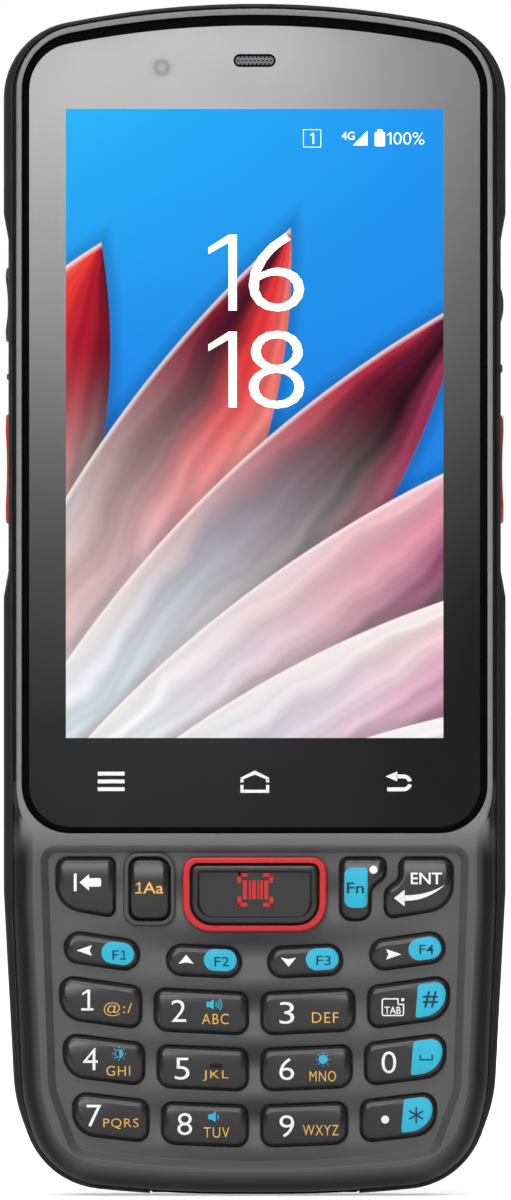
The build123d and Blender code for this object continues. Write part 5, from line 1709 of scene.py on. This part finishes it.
@dataclass
class Studio:
    """A white room with soft lamps, and the camera."""

    view_height: float = 164.8
    view_middle: float = 81.9
    view_x: float = 0.12
    distance: float = 2.6
    sensor: float = 36.0
    lamps: tuple[Lamp, ...] = (
        Lamp("key_lamp", (-0.35, -1.3, 0.71), (1.3, 0.36), 11.8),
        Lamp("top_lamp", (-0.1, -0.6, 0.95), (0.9, 0.2), 4.5),
        Lamp("side_lamp_left", (-0.7, 1.0, 0.5), (0.4, 0.8), 4.0),
        Lamp("side_lamp_right", (0.7, 1.0, 0.5), (0.4, 0.8), 4.0),
        Lamp("back_lamp", (0.3, 1.1, 0.8), (0.7, 0.5), 9.0))
    ambient: float = 0.2
    mirror_levels: tuple[float, float] = (0.9, 0.05)    # what gloss sees: the pale room, the dark sides
    dark_below: tuple[float, float] = (0.85, 0.5)       # upward part of a ray: room, dark
    dark_until: tuple[float, float] = (0.85, 0.55)      # part of a ray away from the user: room, dark
    floor_size: float = 30.0
    floor_colour: str = "#F2F2F2"
    floor_fade: tuple[float, float] = (0.35, 1.6)
    floor_glow: tuple[float, float] = (0.45, 0.88)
    floor_mirror_glow: float = 0.3
    glass_reflectance: float = 0.0426    # of glass with an IOR of 1.52, looked at squarely
    card_reach: float = 1.6
    card_span: tuple[float, float] = (50.6, 161.0)
    card_half: float = 42.0
    card_margin: float = 20.0
    card_across: tuple[float, float] = (-2.0, 31.0)
    # place up the card, and what the glass sends back of it, at the card's left and right
    card_left: tuple[tuple[float, float], ...] = (
        (0.0, 0.021), (0.134, 0.027), (0.283, 0.058), (0.396, 0.096), (0.533, 0.19), (0.731, 0.388),
        (0.955, 0.575), (1.0, 0.62))
    card_right: tuple[tuple[float, float], ...] = (
        (0.0, 0.012), (0.134, 0.008), (0.283, 0.013), (0.396, 0.031), (0.533, 0.075), (0.731, 0.141),
        (0.955, 0.226), (1.0, 0.24))

    def camera(self) -> None:
        """Place a long-lens camera square to the screen."""
        data = bpy.data.cameras.new("camera")
        data.sensor_fit = "AUTO"
        data.sensor_width = self.sensor
        data.lens = self.sensor * (self.distance + FRONT_Y * MM) / (self.view_height * MM)
        data.clip_start, data.clip_end = 0.05, 60.0
        camera = bpy.data.objects.new("camera", data)
        camera.location = (self.view_x * MM, -self.distance, self.view_middle * MM)
        camera.rotation_euler = (math.radians(90), 0, 0)
        bpy.context.scene.collection.objects.link(camera)
        bpy.context.scene.camera = camera

    @staticmethod
    def mirrored(tree: NodeTree, path: bpy.types.NodeOutputs) -> NodeSocket:
        """Tell the rays that gloss and glass send.

        Args:
            tree: the node tree.
            path: the outputs of its Light Path node.

        Returns:
            1 for such a ray.
        """
        return add(tree, "ShaderNodeMath", {0: path["Is Glossy Ray"], 1: path["Is Transmission Ray"]},
                   operation="MAXIMUM").outputs["Value"]

    def floor(self) -> None:
        """Lay a wide white floor that keeps the device's shadow and fades to white far off."""
        mesh = bmesh.new()
        bmesh.ops.create_grid(mesh, x_segments=1, y_segments=1, size=self.floor_size)
        material, tree, shader = new_material("studio_floor")
        path = add(tree, "ShaderNodeLightPath").outputs
        reach = add(tree, "ShaderNodeVectorMath", {0: add(tree, "ShaderNodeTexCoord").outputs["Object"]},
                    operation="LENGTH").outputs["Value"]
        glow = add(tree, "ShaderNodeMapRange", {
            "Value": reach, "From Min": self.floor_fade[0], "From Max": self.floor_fade[1],
            "To Min": self.floor_glow[0], "To Max": self.floor_glow[1]},
            interpolation_type="SMOOTHSTEP").outputs["Result"]
        seen = add(tree, "ShaderNodeMath", {0: path["Is Camera Ray"], 1: glow}, operation="MULTIPLY")
        shine = add(tree, "ShaderNodeMath", {0: self.mirrored(tree, path), 1: self.floor_mirror_glow,
                                             2: seen.outputs["Value"]}, operation="MULTIPLY_ADD")
        tree.links.new(shine.outputs["Value"], shader.inputs["Emission Strength"])
        shader.inputs["Emission Color"].default_value = linear("#FFFFFF")
        shader.inputs["Base Color"].default_value = linear(self.floor_colour)
        shader.inputs["Roughness"].default_value = 0.9
        shader.inputs["Specular IOR Level"].default_value = 0.0
        floor = to_object("floor", mesh, material)

    def world(self) -> None:
        """A world that looks white, lights softly, and is dark to the sides where gloss looks at it."""
        world = bpy.data.worlds.new("room")
        bpy.context.scene.world = world
        world.use_nodes = True
        tree = world.node_tree
        tree.nodes.clear()
        path = add(tree, "ShaderNodeLightPath").outputs
        way = add(tree, "ShaderNodeSeparateXYZ",
                  {"Vector": add(tree, "ShaderNodeTexCoord").outputs["Generated"]}).outputs
        below = add(tree, "ShaderNodeMapRange", {"Value": way["Z"], "From Min": self.dark_below[0],
                                                 "From Max": self.dark_below[1]})
        before = add(tree, "ShaderNodeMapRange", {"Value": way["Y"], "From Min": self.dark_until[0],
                                                  "From Max": self.dark_until[1]})
        dark = add(tree, "ShaderNodeMath", {0: below.outputs["Result"], 1: before.outputs["Result"]},
                   operation="MULTIPLY").outputs["Value"]
        mirror_strength = add(tree, "ShaderNodeMapRange", {
            "Value": dark, "To Min": self.mirror_levels[0], "To Max": self.mirror_levels[1]})
        strength = add(tree, "ShaderNodeMix", {0: self.mirrored(tree, path), 2: self.ambient,
                                               3: mirror_strength.outputs["Result"]}, data_type="FLOAT")
        strength = add(tree, "ShaderNodeMix", {0: path["Is Camera Ray"], 2: strength.outputs[0], 3: 1.0},
                       data_type="FLOAT")
        light = add(tree, "ShaderNodeBackground", {"Color": linear("#FFFFFF"), "Strength": strength.outputs[0]})
        add(tree, "ShaderNodeOutputWorld", {"Surface": light.outputs["Background"]})

    def gradient_card(self) -> None:
        """Hang a graded light card behind the camera that only gloss sees: bright top left, dark low right."""
        mesh = bmesh.new()
        bmesh.ops.create_grid(mesh, x_segments=1, y_segments=1, size=0.5)
        spread = 1 + self.card_reach / self.distance
        low, high = (self.view_middle + spread * (z - self.view_middle) for z in self.card_span)
        stand = (Matrix.Translation((0, -self.card_reach, (low + high) / 2 * MM))
                 @ Matrix.Rotation(math.radians(-90), 4, "X"))
        size = Matrix.Diagonal((2 * self.card_half * spread * MM, (high - low + self.card_margin) * MM, 1, 1))
        bmesh.ops.transform(mesh, matrix=stand @ size, verts=mesh.verts)
        material, tree, glow = new_material("light_card", "ShaderNodeEmission")
        at = add(tree, "ShaderNodeSeparateXYZ",
                 {"Vector": add(tree, "ShaderNodeTexCoord").outputs["Object"]}).outputs
        height = add(tree, "ShaderNodeMapRange", {"Value": at["Z"], "From Min": low * MM,
                                                  "From Max": high * MM})
        across = add(tree, "ShaderNodeMapRange", {"Value": at["X"], "From Min": self.card_across[0] * MM,
                                                  "From Max": self.card_across[1] * MM * spread})
        graded = []
        for stops in (self.card_left, self.card_right):
            ramp = add(tree, "ShaderNodeValToRGB", {"Fac": height.outputs["Result"]})
            elements = ramp.color_ramp.elements
            for position, _ in stops[1:-1]:
                elements.new(position)
            for element, (position, value) in zip(elements, stops):
                element.position = position
                element.color = (value, value, value, 1.0)
            graded.append(ramp.outputs["Color"])
        both = add(tree, "ShaderNodeMix", {0: across.outputs["Result"], 6: graded[0], 7: graded[1]},
                   data_type="RGBA")
        tree.links.new(both.outputs[2], glow.inputs["Color"])
        glow.inputs["Strength"].default_value = 1.0 / self.glass_reflectance
        card = to_object("light_card", mesh, material)
        card.visible_camera = card.visible_diffuse = card.visible_transmission = False
        card.visible_shadow = card.visible_volume_scatter = False

    def build(self) -> None:
        """Make the room, the lamps and the camera."""
        bpy.context.scene.view_settings.view_transform = "Standard"
        self.world()
        self.floor()
        self.gradient_card()
        for lamp in self.lamps:
            lamp.build()
        self.camera()


def dress_parts() -> None:
    """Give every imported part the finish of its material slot."""
    slots = {part["node"]: part["material_slot"] for part in frame["record"]["subparts"]}
    for name, piece in frame["nodes"].items():
        slot = slots[name]
        if slot not in MADE:
            MADE[slot] = FINISHES[slot].build()
        piece.data.materials.clear()
        piece.data.materials.append(MADE[slot])
        LOG.info("part %s: %s", name, MADE[slot].name)


def main() -> None:
    """Build the studio and every sub-assembly in order."""
    logging.basicConfig(level=logging.INFO, format="%(name)s: %(message)s")
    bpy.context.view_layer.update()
    for ink in Print:
        INK[ink] = ink.value.build()
    Studio().build()
    dress_parts()
    Screen().build()
    for node in LEGENDS:
        KeyPrint(node).build()
    HomeBar().build()
    FrontFittings().build()
    BackFittings().build()


if __name__ == "__main__":
    main()
